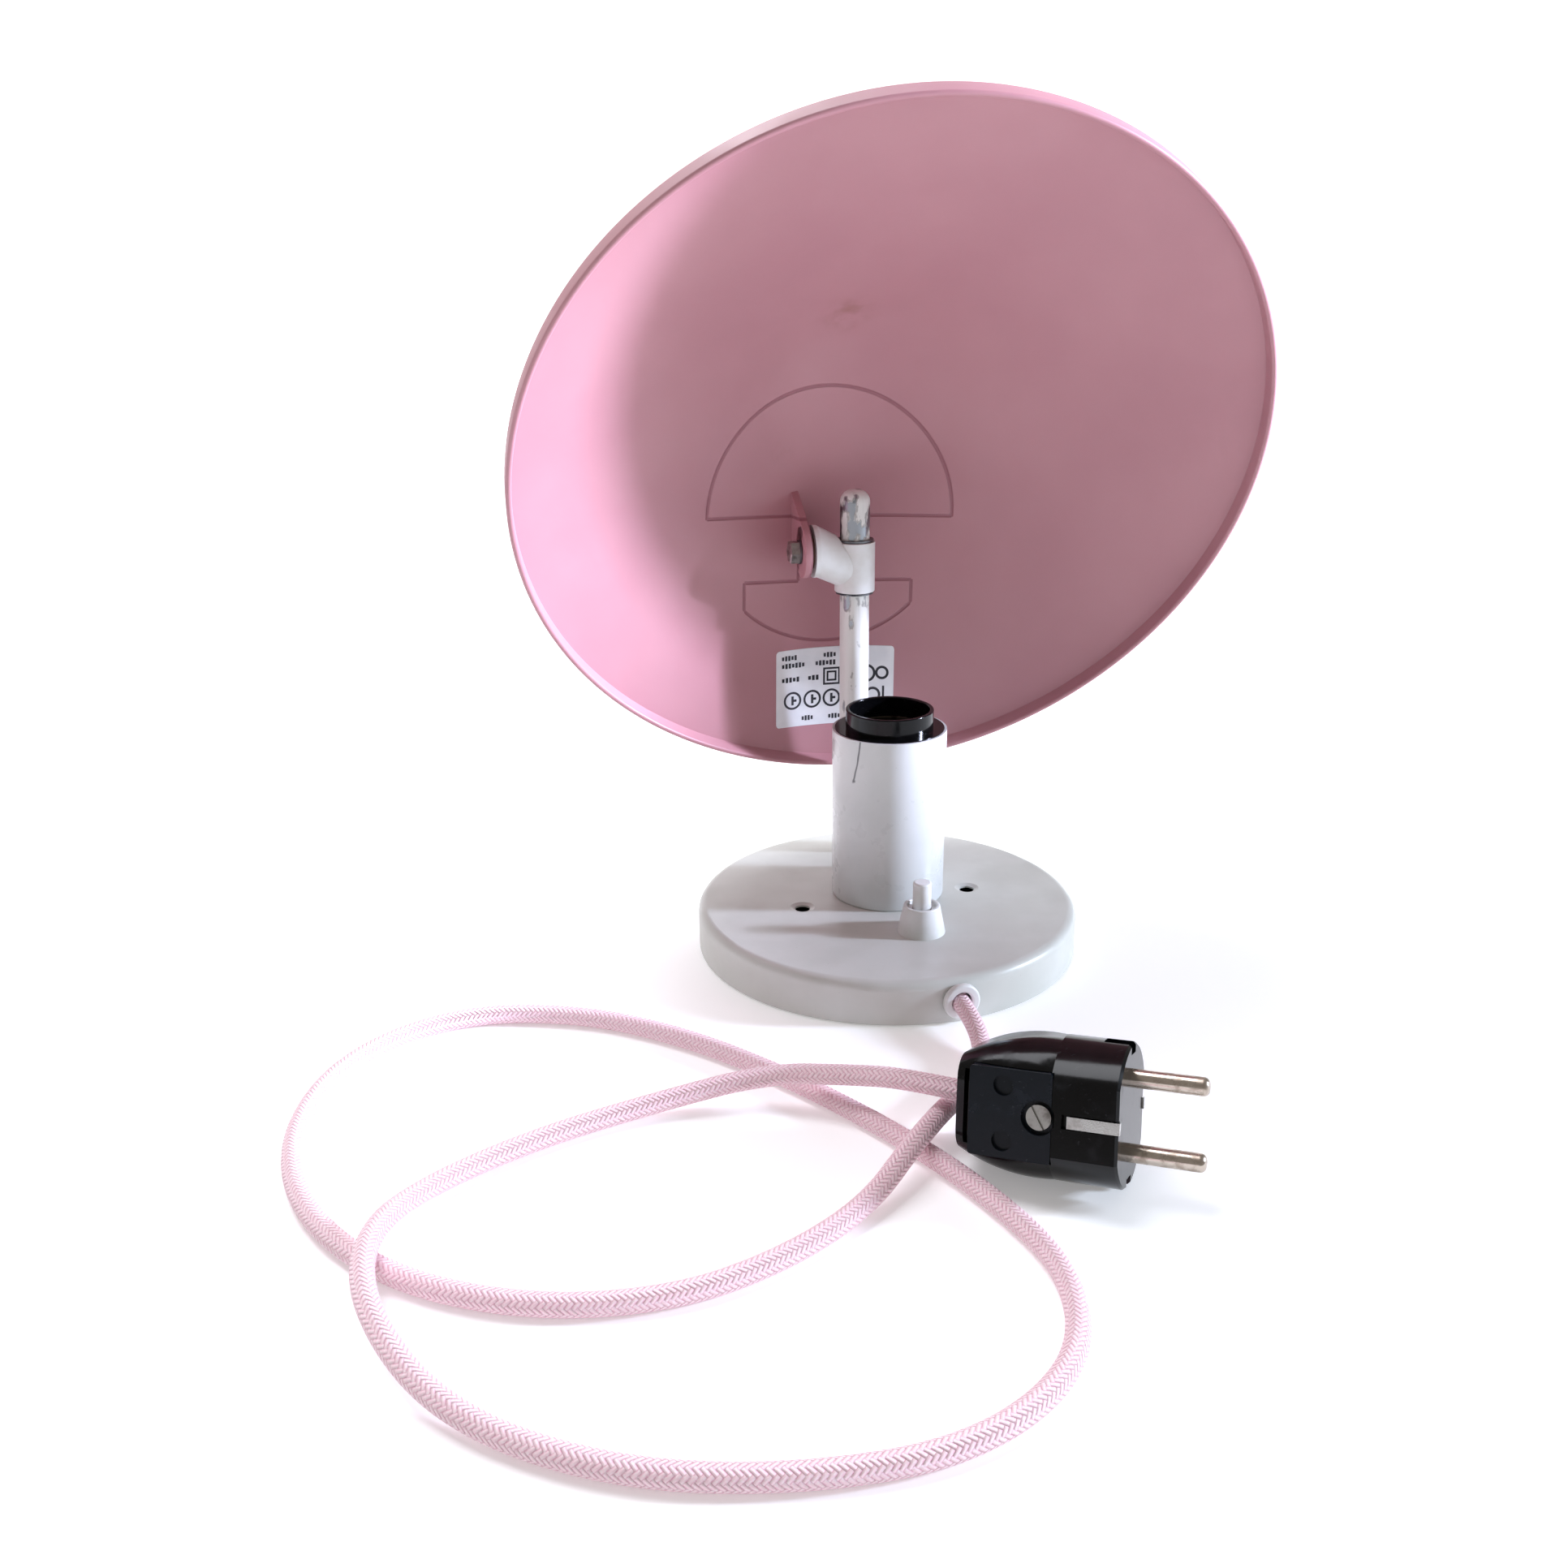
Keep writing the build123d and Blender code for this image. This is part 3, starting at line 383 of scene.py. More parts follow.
@dataclass(frozen=True)
class MouldedPink:
    """Moulded pastel pink polypropylene: a soft satin skin with a fine grain from the mould.

    Inside it carries the line of a mould insert, darkened with painted shade as in a groove, two brownish
    rub marks and thin scuffs.
    """

    shade_frame: Matrix
    slope: float
    ring_centre: tuple[float, float] = (-9.5, 12.5)
    ring_r: float = 45.2
    turn: float = 2.0
    skin: str = "#B6848B"
    deep: str = "#B07D85"
    rub: str = "#8A5B4E"

    def make(self) -> bpy.types.Material:
        """Gives the shade's material."""
        recipe = Recipe("moulded_polypropylene_pink")
        cloud = recipe.noise(55.0, 3.0)
        colour = recipe.mix(recipe.ramp(cloud, 0.3, 0.7), self.deep, self.skin)
        for at, radius, strength in (((-2.1, 40.4, 207.7), 13.0, 0.55), ((-19.4, 62.8, 160.5), 6.0, 0.6)):
            mark = recipe.math(
                "MULTIPLY", recipe.spot(at, radius, 0.0), recipe.ramp(recipe.noise(6.0, 4.0), 0.3, 0.75)
            )
            colour = recipe.mix(recipe.math("MULTIPLY", mark, strength), colour, self.rub)
        line = self._insert_line(recipe)
        # painted shade: the insert line is darkened as if shade lay in its groove; its real relief is the
        # bump below
        colour = recipe.mix(recipe.math("MULTIPLY", line, 0.6), colour, "#7A3F4B")
        scuffs = recipe.ramp(recipe.noise(1.2, 5.0, (0.12, 1.0, 0.5)), 0.68, 0.76)
        area = recipe.spot((-71.5, 31.0, 170.0), 34.0, 0.1)
        scuffed = recipe.math("MULTIPLY", recipe.math("MULTIPLY", scuffs, area), 0.25)
        colour = recipe.mix(scuffed, colour, "#B98A97")
        recipe.bump(recipe.noise(0.45, 2.0), 0.02, 0.35)
        recipe.bump(recipe.noise(38.0, 1.0), 0.25, 0.25)
        recipe.bump(recipe.math("SUBTRACT", 1.0, line), 0.35, 0.8)
        rough = recipe.ramp(recipe.noise(20.0, 4.0), 0.3, 0.7, 0.40, 0.52)
        return recipe.finish(
            Base_Color=colour,
            Roughness=rough,
            IOR=1.49,
            Subsurface_Weight=0.06,
            Subsurface_Radius=(0.004, 0.0015, 0.0015),
            Subsurface_Scale=0.3,
        )

    def _insert_line(self, recipe: Recipe) -> Socket:
        """1 on the thin line that the mould's insert left, which is drawn along the wall's slope.

        Args:
            recipe: the material under way.

        Returns:
            The line's socket.
        """
        across, down, depth = recipe.local(self.shade_frame)
        along = recipe.math(
            "SUBTRACT",
            recipe.math("MULTIPLY", down, math.cos(self.slope)),
            recipe.math("MULTIPLY", depth, math.sin(self.slope)),
        )
        lean = math.radians(self.turn)
        x_off = recipe.math("SUBTRACT", across, self.ring_centre[0] * MM)
        y_off = recipe.math("SUBTRACT", along, self.ring_centre[1] * MM)
        x = recipe.math(
            "ADD",
            recipe.math("MULTIPLY", x_off, math.cos(lean)),
            recipe.math("MULTIPLY", y_off, math.sin(lean)),
        )
        y = recipe.math(
            "SUBTRACT",
            recipe.math("MULTIPLY", y_off, math.cos(lean)),
            recipe.math("MULTIPLY", x_off, math.sin(lean)),
        )
        squares = recipe.math("ADD", recipe.math("POWER", x, 2.0), recipe.math("POWER", y, 2.0))
        radius = recipe.math("SQRT", squares)

        def near(value: Socket, at_mm: float) -> Socket:
            """1 within the line's width of a value."""
            off = recipe.math("ABSOLUTE", recipe.math("SUBTRACT", value, at_mm * MM))
            return recipe.ramp(off, 0.25 * MM, 0.8 * MM, 1.0, 0.0)

        def between(value: Socket, low_mm: float, high_mm: float) -> Socket:
            """1 between two values."""
            above = recipe.math("GREATER_THAN", value, low_mm * MM)
            return recipe.math("MULTIPLY", above, recipe.math("LESS_THAN", value, high_mm * MM))

        ring = self.ring_r
        inner = between(depth, 10.0, 90.0)
        inside = recipe.math("LESS_THAN", radius, (ring + 0.3) * MM)
        strokes = [
            (near(radius, ring), between(y, -60.0, 0.3)),
            (near(radius, ring), recipe.math("MULTIPLY", between(y, 20.0, 60.0), between(x, -30.6, 32.2))),
            (near(y, 0.0), between(x, -ring, -10.1)),
            (near(y, 0.0), between(x, 13.6, ring)),
            (near(y, 23.3), between(x, -30.6, -10.1)),
            (near(y, 23.3), between(x, 13.6, 32.2)),
            (near(x, -30.6), recipe.math("MULTIPLY", between(y, 23.3, 60.0), inside)),
            (near(x, 32.2), recipe.math("MULTIPLY", between(y, 23.3, 60.0), inside)),
            (near(x, -10.1), between(y, 0.0, 23.3)),
            (near(x, 13.6), between(y, 0.0, 23.3)),
        ]
        total = None
        for stroke, reach in strokes:
            part = recipe.math("MULTIPLY", stroke, reach)
            total = part if total is None else recipe.math("MAXIMUM", total, part)
        return recipe.math("MULTIPLY", total, inner)


@dataclass(frozen=True)
class StoveEnamel:
    """Stoved enamel on steel: an even off-white skin with a slight orange peel and handling marks."""

    name: str
    paint: str = "#D9DADA"
    shade_tone: str = "#CDCFCE"
    gloss: float = 0.34
    hair_mark: bool = False

    def make(self) -> bpy.types.Material:
        """Gives the painted piece's material."""
        recipe = Recipe(self.name)
        colour = recipe.mix(recipe.ramp(recipe.noise(24.0, 4.0), 0.35, 0.7), self.paint, self.shade_tone)
        specks = recipe.ramp(recipe.noise(1.1, 3.0), 0.72, 0.8)
        colour = recipe.mix(recipe.math("MULTIPLY", specks, 0.35), colour, "#9A9890")
        if self.hair_mark:
            colour = self._sleeve_marks(recipe, colour)
        recipe.bump(recipe.noise(0.9, 2.0), 0.03, 0.25)
        rough = recipe.ramp(recipe.noise(9.0, 4.0), 0.3, 0.7, self.gloss - 0.05, self.gloss + 0.08)
        return recipe.finish(
            Base_Color=colour, Roughness=rough, IOR=1.5, Coat_Weight=0.15, Coat_Roughness=0.2
        )

    def _sleeve_marks(self, recipe: Recipe, colour: Socket) -> Socket:
        """Adds the thin dark scratch with its blob, and the faint grey rub marks of the sleeve."""
        axes = add_node(recipe.tree, "SeparateXYZ", {0: recipe.place})
        across, front, height = axes.outputs[0], axes.outputs[1], axes.outputs[2]
        wave = recipe.math("MULTIPLY", recipe.math("SUBTRACT", recipe.noise(7.0, 1.0), 0.5), 0.9 * MM)
        lean = recipe.math("MULTIPLY", recipe.math("SUBTRACT", height, 0.0745), 0.13)
        line_x = recipe.math("ADD", recipe.math("ADD", lean, -11.6 * MM), wave)
        off = recipe.math("ABSOLUTE", recipe.math("SUBTRACT", across, line_x))
        hair = recipe.ramp(off, 0.10 * MM, 0.28 * MM, 1.0, 0.0)
        reach = recipe.math(
            "MULTIPLY", recipe.ramp(height, 0.0595, 0.0605), recipe.ramp(height, 0.0750, 0.0745)
        )
        facing = recipe.math("LESS_THAN", front, 0.0)
        hair = recipe.math("MULTIPLY", recipe.math("MULTIPLY", hair, reach), facing)
        blob = recipe.spot((-13.3, -4.6, 60.7), 0.9, 0.3)
        hair = recipe.math("MAXIMUM", hair, blob)
        rubs = recipe.ramp(recipe.noise(2.2, 5.0, (1.0, 1.0, 0.35)), 0.66, 0.74)
        patch = recipe.spot((6.0, -12.5, 47.0), 12.0, 0.1)
        rubbed = recipe.math("MULTIPLY", recipe.math("MULTIPLY", rubs, patch), 0.3)
        colour = recipe.mix(rubbed, colour, "#9A9FA1")
        return recipe.mix(recipe.math("MULTIPLY", hair, 0.85), colour, "#33343A")


@dataclass(frozen=True)
class WornRod:
    """Off-white paint on a steel rod, rubbed through to grey metal where the clip slides."""

    paint: str = "#D8D8D4"
    metal: str = "#8C8F93"
    grime: str = "#6E6A66"

    def make(self) -> bpy.types.Material:
        """Gives the stem's material."""
        recipe = Recipe("worn_enamel_on_steel")
        height = add_node(recipe.tree, "SeparateXYZ", {0: recipe.place}).outputs[2]
        zones = recipe.math("MAXIMUM", recipe.ramp(height, 0.128, 0.136), recipe.math(
            "MULTIPLY", recipe.ramp(height, 0.104, 0.112), recipe.ramp(height, 0.118, 0.113)))
        zones = recipe.math("MULTIPLY", zones, recipe.ramp(height, 0.147, 0.142, 0.2, 1.0))
        chips = recipe.noise(4.5, 6.0, (1.0, 1.0, 0.45))
        level = recipe.math("ADD", chips, recipe.math("MULTIPLY", zones, 0.17))
        bare = recipe.ramp(level, 0.66, 0.70)
        streaks = recipe.ramp(recipe.noise(2.0, 3.0, (1.0, 1.0, 0.06)), 0.55, 0.7)
        paint = recipe.mix(recipe.math("MULTIPLY", streaks, 0.4), self.paint, "#B5B4AF")
        rim = recipe.math("SUBTRACT", recipe.ramp(level, 0.62, 0.66), bare, True)
        paint = recipe.mix(recipe.math("MULTIPLY", rim, 0.6), paint, self.grime)
        colour = recipe.mix(bare, paint, self.metal)
        recipe.bump(recipe.math("SUBTRACT", 1.0, bare), 0.12, 0.8)
        rough = recipe.math("ADD", recipe.math("MULTIPLY", bare, -0.06), 0.40)
        return recipe.finish(Base_Color=colour, Metallic=bare, Roughness=rough)


@dataclass(frozen=True)
class Phenolic:
    """Pressed phenolic resin: near black, polished by the mould, with dull rubbed places."""

    name: str = "phenolic_black"
    colour: str = "#060607"
    worn: str = "#0E0F12"
    gloss: float = 0.14

    def make(self) -> bpy.types.Material:
        """Gives the black plastic's material."""
        recipe = Recipe(self.name)
        cloud = recipe.ramp(recipe.noise(6.0, 5.0), 0.5, 0.85)
        colour = recipe.mix(cloud, self.colour, self.worn)
        scratches = recipe.ramp(recipe.noise(0.9, 4.0, (0.15, 1.0, 1.0)), 0.66, 0.74)
        colour = recipe.mix(recipe.math("MULTIPLY", scratches, 0.12), colour, "#6A6C72")
        rough = recipe.math("ADD", recipe.ramp(cloud, 0.0, 1.0, self.gloss, self.gloss + 0.14), 0.0)
        recipe.bump(recipe.noise(3.0, 3.0), 0.05, 0.15)
        return recipe.finish(Base_Color=colour, Roughness=rough, IOR=1.3)


@dataclass(frozen=True)
class MouldedPart:
    """A small moulded or cut part in one colour with a faint grain: nylon, ceramic, rubber, felt."""

    name: str
    colour: str
    second: str
    rough: float = 0.45
    grain_mm: float = 0.6
    relief_mm: float = 0.02

    def make(self) -> bpy.types.Material:
        """Gives the part's material."""
        recipe = Recipe(self.name)
        colour = recipe.mix(recipe.ramp(recipe.noise(8.0, 4.0), 0.35, 0.7), self.colour, self.second)
        recipe.bump(recipe.noise(self.grain_mm, 3.0), self.relief_mm, 0.4)
        rough = recipe.ramp(recipe.noise(5.0, 3.0), 0.3, 0.7, self.rough - 0.05, self.rough + 0.07)
        return recipe.finish(Base_Color=colour, Roughness=rough, IOR=1.5)


@dataclass(frozen=True)
class Metal:
    """A plated, cast or stamped metal with a tarnish that gathers in blotches and fine lines."""

    name: str
    colour: str
    tarnish: str
    rough: float = 0.28
    line_stretch: tuple[float, float, float] = (1.0, 1.0, 1.0)
    relief_mm: float = 0.02

    def make(self) -> bpy.types.Material:
        """Gives the metal's material."""
        recipe = Recipe(self.name)
        blotch = recipe.ramp(recipe.noise(3.5, 5.0), 0.42, 0.68)
        colour = recipe.mix(blotch, self.colour, self.tarnish)
        recipe.bump(recipe.noise(0.35, 3.0, self.line_stretch), self.relief_mm, 0.5)
        rough = recipe.ramp(blotch, 0.0, 1.0, self.rough, self.rough + 0.2)
        return recipe.finish(Base_Color=colour, Metallic=1.0, Roughness=rough)


@dataclass(frozen=True)
class BraidedTextile:
    """Glossy rayon yarn braided over the cord, two over and two under, which reads as a herringbone.

    The yarns are drawn about a third wider than real ones, so that they still show.
    """

    yarns_each_way: int = 12
    pitch_mm: float = 1.55
    light: str = "#FFF3F6"
    middle: str = "#FDDBE4"
    # the colour of the braid's valleys: painted shade between the yarns
    deep: str = "#EBB2C5"

    def make(self) -> bpy.types.Material:
        """Gives the cord's material, which reads the cord's own map: metres along, turns around."""
        recipe = Recipe("rayon_braid_pink")
        axes = add_node(recipe.tree, "SeparateXYZ", {0: add_node(recipe.tree, "TexCoord").outputs["UV"]})
        along = recipe.math("DIVIDE", axes.outputs[0], self.pitch_mm * MM)
        around = recipe.math("MULTIPLY", axes.outputs[1], float(self.yarns_each_way))
        left = recipe.math("ADD", along, around)
        right = recipe.math("SUBTRACT", along, around)
        gap = recipe.math("SUBTRACT", recipe.math("FLOOR", left), recipe.math("FLOOR", right))
        phase = recipe.math("FLOORED_MODULO", gap, 4.0)
        left_on_top = recipe.math("LESS_THAN", phase, 1.5)
        round_left = self._yarn(recipe, left)
        round_right = self._yarn(recipe, right)
        height = recipe.math(
            "ADD",
            recipe.math("MULTIPLY", left_on_top, round_left),
            recipe.math("MULTIPLY", recipe.math("SUBTRACT", 1.0, left_on_top), round_right),
        )
        fibre = recipe.noise(0.5, 3.0)
        # painted shade: darker where the yarns dip into the braid's valleys, on top of the bump
        tone = recipe.mix(recipe.ramp(height, 0.1, 0.75), self.deep, self.middle)
        tone = recipe.mix(recipe.math("MULTIPLY", recipe.ramp(fibre, 0.4, 0.75), 0.6), tone, self.light)
        recipe.bump(height, 0.32, 0.9)
        recipe.bump(fibre, 0.05, 0.4)
        return recipe.finish(
            Base_Color=tone,
            Roughness=0.62,
            Sheen_Weight=0.35,
            Sheen_Roughness=0.4,
            Sheen_Tint=linear("#FFE6EE"),
        )

    @staticmethod
    def _yarn(recipe: Recipe, phase: Socket) -> Socket:
        """The rounded profile across one yarn, from its place in the braid."""
        part = recipe.math("FRACT", phase)
        return recipe.math("SINE", recipe.math("MULTIPLY", part, math.pi))


# ---------------------------------------------------------------- shade
@dataclass(frozen=True)
class ReflectorShade:
    """The wide conical shade with its rounded crown, short lip and hinge ear. Sizes are in mm."""

    radius: float = 123.0
    wall: float = 1.9
    slope: float = math.radians(31.0)
    crown_r: float = 70.0
    lip: float = 5.0
    tilt: float = math.radians(26.6)
    swivel: float = math.radians(-3.6)
    clip_at: tuple[float, float, float] = (2.7, 47.0, 0.0)
    middle: tuple[float, float, float] = (3.2, -46.6, 154.9)
    hinge_z: float = 128.0
    ear_x: float = -16.8
    ear_wall: float = 2.6
    ear_r: float = 9.15
    steps: int = 240
    ring_points: int = 14

    def matrix(self) -> Matrix:
        """The shade's frame: x across, y down the opening, z from the opening into the dish."""
        swing = Matrix.Rotation(self.swivel, 3, "Z")
        origin = Vector(self.clip_at) + swing @ Vector(self.middle)
        into = swing @ Vector((0.0, math.cos(self.tilt), math.sin(self.tilt)))
        return frame_matrix(origin * MM, swing @ Vector((1, 0, 0)), into)

    def _half_section(self, shift: float) -> list[tuple[float, float]]:
        """Radius and depth along one face of the wall, from the axis to the lip's edge.

        Args:
            shift: how far that face is outside the inner one.

        Returns:
            The points, in mm.
        """
        bend = self.crown_r * math.sin(self.slope)
        knee = self.lip + (self.radius - self.wall - bend) * math.tan(self.slope)
        centre = knee - self.crown_r * math.cos(self.slope)
        reach = self.crown_r + shift
        points = []
        for step in range(self.ring_points + 1):
            angle = self.slope * step / self.ring_points
            points.append((reach * math.sin(angle), centre + reach * math.cos(angle)))
        edge_r = self.radius - self.wall + shift
        start_r, start_z = points[-1]
        edge_z = start_z - (edge_r - start_r) * math.tan(self.slope)
        for step in range(1, self.ring_points + 1):
            part = step / self.ring_points
            points.append((start_r + (edge_r - start_r) * part, start_z + (edge_z - start_z) * part))
        points.append((edge_r, 0.0))
        return points

    def _dish(self) -> bmesh.types.BMesh:
        """Spins the wall's half section into the dish, with a rolled edge."""
        shape = bmesh.new()
        inner = self._half_section(0.0)
        outer = self._half_section(self.wall)
        inner[-1] = (inner[-1][0], 0.8)
        outer[-1] = (outer[-1][0], 0.8)
        roll = [
            (self.radius - self.wall / 2 - self.wall / 2 * math.cos(angle), 0.8 - 0.8 * math.sin(angle))
            for angle in (math.pi * step / 8 for step in range(1, 8))
        ]
        verts = [shape.verts.new((r * MM, 0.0, z * MM)) for r, z in inner + roll + outer[::-1]]
        edges = [shape.edges.new(pair) for pair in zip(verts, verts[1:])]
        bmesh.ops.spin(
            shape,
            geom=verts + edges,
            cent=(0, 0, 0),
            axis=(0, 0, 1),
            angle=math.tau,
            steps=self.steps,
            use_merge=True,
            use_duplicate=False,
        )
        bmesh.ops.remove_doubles(shape, verts=shape.verts, dist=1e-6)
        bmesh.ops.recalc_face_normals(shape, faces=shape.faces)
        return shape

    def _ear(self) -> bmesh.types.BMesh:
        """Makes the hinge ear: a round plate with a root into the wall."""
        above = self.middle[2] - self.hinge_z
        drop = -self.middle[1] * math.sin(self.tilt) + above * math.cos(self.tilt)
        depth = -self.middle[1] * math.cos(self.tilt) - above * math.sin(self.tilt)
        side = self.ear_x - self.middle[0]
        shape = bmesh.new()
        upright = Matrix.Rotation(math.pi / 2, 4, "Y")
        into_yz = Matrix.Translation(Vector((side - self.ear_wall / 2, drop, depth)) * MM) @ upright
        bmesh.ops.create_cone(
            shape,
            cap_ends=True,
            segments=72,
            radius1=self.ear_r * MM,
            radius2=self.ear_r * MM,
            depth=self.ear_wall * MM,
            matrix=into_yz,
        )
        root = bmesh.ops.create_cube(shape, size=1.0)["verts"]
        for vert in root:
            corner = drop + 2 * self.ear_r * vert.co.y
            inward = self.radius - self.wall - math.hypot(corner, side)
            wall = self.lip + inward * math.tan(self.slope) + 0.5
            height = wall if vert.co.z > 0 else depth
            vert.co = Vector((side - self.ear_wall * (0.5 - vert.co.x), corner, height)) * MM
        bmesh.ops.recalc_face_normals(shape, faces=shape.faces)
        rims = [
            edge
            for edge in shape.edges
            if edge.calc_face_angle(0.0) > 1.2 and len(edge.link_faces[0].verts) != 4
        ]
        bmesh.ops.bevel(
            shape,
            geom=rims,
            offset=0.35 * MM,
            segments=3,
            profile=0.5,
            affect="EDGES",
            material=-1,
            clamp_overlap=True,
        )
        return shape

    def build(self) -> bpy.types.Object:
        """Makes the shade with its ear as one piece, and gives it."""
        finish = MouldedPink(self.matrix(), self.slope).make()
        dish = self._dish()
        ear_mesh = bpy.data.meshes.new("ear")
        ear = self._ear()
        ear.to_mesh(ear_mesh)
        ear.free()
        dish.from_mesh(ear_mesh)
        bpy.data.meshes.remove(ear_mesh)
        bmesh.ops.transform(dish, matrix=self.matrix(), verts=dish.verts)
        piece = new_piece("reflector_shade", dish, finish, Body.SHADE)
        corners = piece.modifiers.new("crisp_corners", "EDGE_SPLIT")
        corners.split_angle = math.radians(40)
        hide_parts("shade")
        return piece

    def on_wall(self, across: float, down: float, lift: float) -> Vector:
        """A point just off the inner wall.

        Args:
            across: mm across from the shade's axis.
            down: mm down from the axis.
            lift: mm off the wall, towards the inside.

        Returns:
            The point in the lamp's frame, in metres.
        """
        far = math.hypot(across, down)
        rise = (self.radius - self.wall - far) * math.tan(self.slope)
        depth = self.lip + rise - lift / math.cos(self.slope)
        return self.matrix() @ (Vector((across, down, depth)) * MM)


@dataclass(frozen=True)
class PlainLabel:
    """The white sticker on the shade's inner wall, with meaningless printed bars, rings and blocks."""

    shade: ReflectorShade
    width: float = 45.0
    height: float = 29.0
    across: float = -7.25
    down: float = 98.4
    turn: float = math.radians(1.8)
    lift: float = 0.24

    def _point(self, x: float, y: float) -> Vector:
        """A point of the print, from its place on the flat label with its middle at 0, 0."""
        shrink = math.cos(self.shade.slope)
        flat_x = x * math.cos(self.turn) - y * shrink * math.sin(self.turn)
        flat_y = x * math.sin(self.turn) + y * shrink * math.cos(self.turn)
        return self.shade.on_wall(self.across + flat_x, self.down + flat_y, self.lift)

    def _bar(self, shape: bmesh.types.BMesh, x: float, y: float, width: float, height: float) -> None:
        """Adds a printed bar: a fine grid that follows the wall."""
        steps = max(1, round(width / 3))
        grid = bmesh.ops.create_grid(shape, x_segments=steps, y_segments=1, size=0.5)
        for vert in grid["verts"]:
            vert.co = self._point(x + vert.co.x * width, y + vert.co.y * height)

    def _ring(
        self, shape: bmesh.types.BMesh, x: float, y: float, outer: float, inner: float, sides: int
    ) -> None:
        """Adds a printed ring, or with four sides a square frame."""
        loops = [
            bmesh.ops.create_circle(shape, segments=sides, radius=radius)["verts"]
            for radius in (outer, inner)
        ]
        rims = {edge for loop in loops for vert in loop for edge in vert.link_edges}
        bmesh.ops.bridge_loops(shape, edges=list(rims))
        skew = math.pi / 4 if sides == 4 else 0.0
        for vert in loops[0] + loops[1]:
            px = vert.co.x * math.cos(skew) - vert.co.y * math.sin(skew)
            py = vert.co.x * math.sin(skew) + vert.co.y * math.cos(skew)
            vert.co = self._point(x + px, y + py)

    def build(self) -> bpy.types.Object:
        """Prints the label's marks as one thin piece, and gives it."""
        shape = bmesh.new()
        words = (
            (-17.5, -11.6, 6.0), (-16.0, -8.7, 9.0), (-2.0, -11.6, 5.0),
            (-3.6, -8.7, 8.0), (-17.0, -3.4, 7.0),
            (-8.2, -3.4, 4.4), (8.6, -11.8, 7.0), (-10.5, 11.6, 4.6), (0.5, 11.6, 6.0), (12.5, 11.8, 8.0),
        )
        for x, y, width in words:
            letters = max(2, round(width / 1.3))
            for step in range(letters):
                tall = 1.9 if step % 3 else 1.4
                pitch = width / letters
                self._bar(shape, x - width / 2 + (step + 0.5) * width / letters, y, pitch * 0.7, tall)
        for x in (-16.2, -8.6, -1.2):
            self._ring(shape, x, 4.6, 3.4, 2.6, 28)
            self._bar(shape, x, 4.6, 0.9, 3.4)
            self._bar(shape, x + 0.9, 4.6, 1.3, 0.9)
        for outer in (4.6, 2.7):
            self._ring(shape, -1.2, -3.6, outer, outer - 1.0, 4)
        for x, y, outer in ((12.2, -4.2, 3.4), (18.0, -4.4, 2.6), (14.6, 4.0, 3.0)):
            self._ring(shape, x, y, outer, outer - 0.95, 20)
        self._bar(shape, 7.0, -4.0, 0.8, 7.0)
        self._bar(shape, 18.6, 3.6, 0.8, 6.0)
        self._bar(shape, 15.0, 8.8, 9.0, 0.8)
        bmesh.ops.recalc_face_normals(shape, faces=shape.faces)
        ink = MouldedPart("printing_ink_black", "#23232A", "#34343C", 0.6, 0.4, 0.005).make()
        piece = new_piece("label_print", shape, ink, Body.SHADE)
        paper = MouldedPart("coated_paper_white", "#E9EBEE", "#DFE2E6", 0.38, 0.8, 0.01).make()
        dress("rating_label", paper)
        return piece


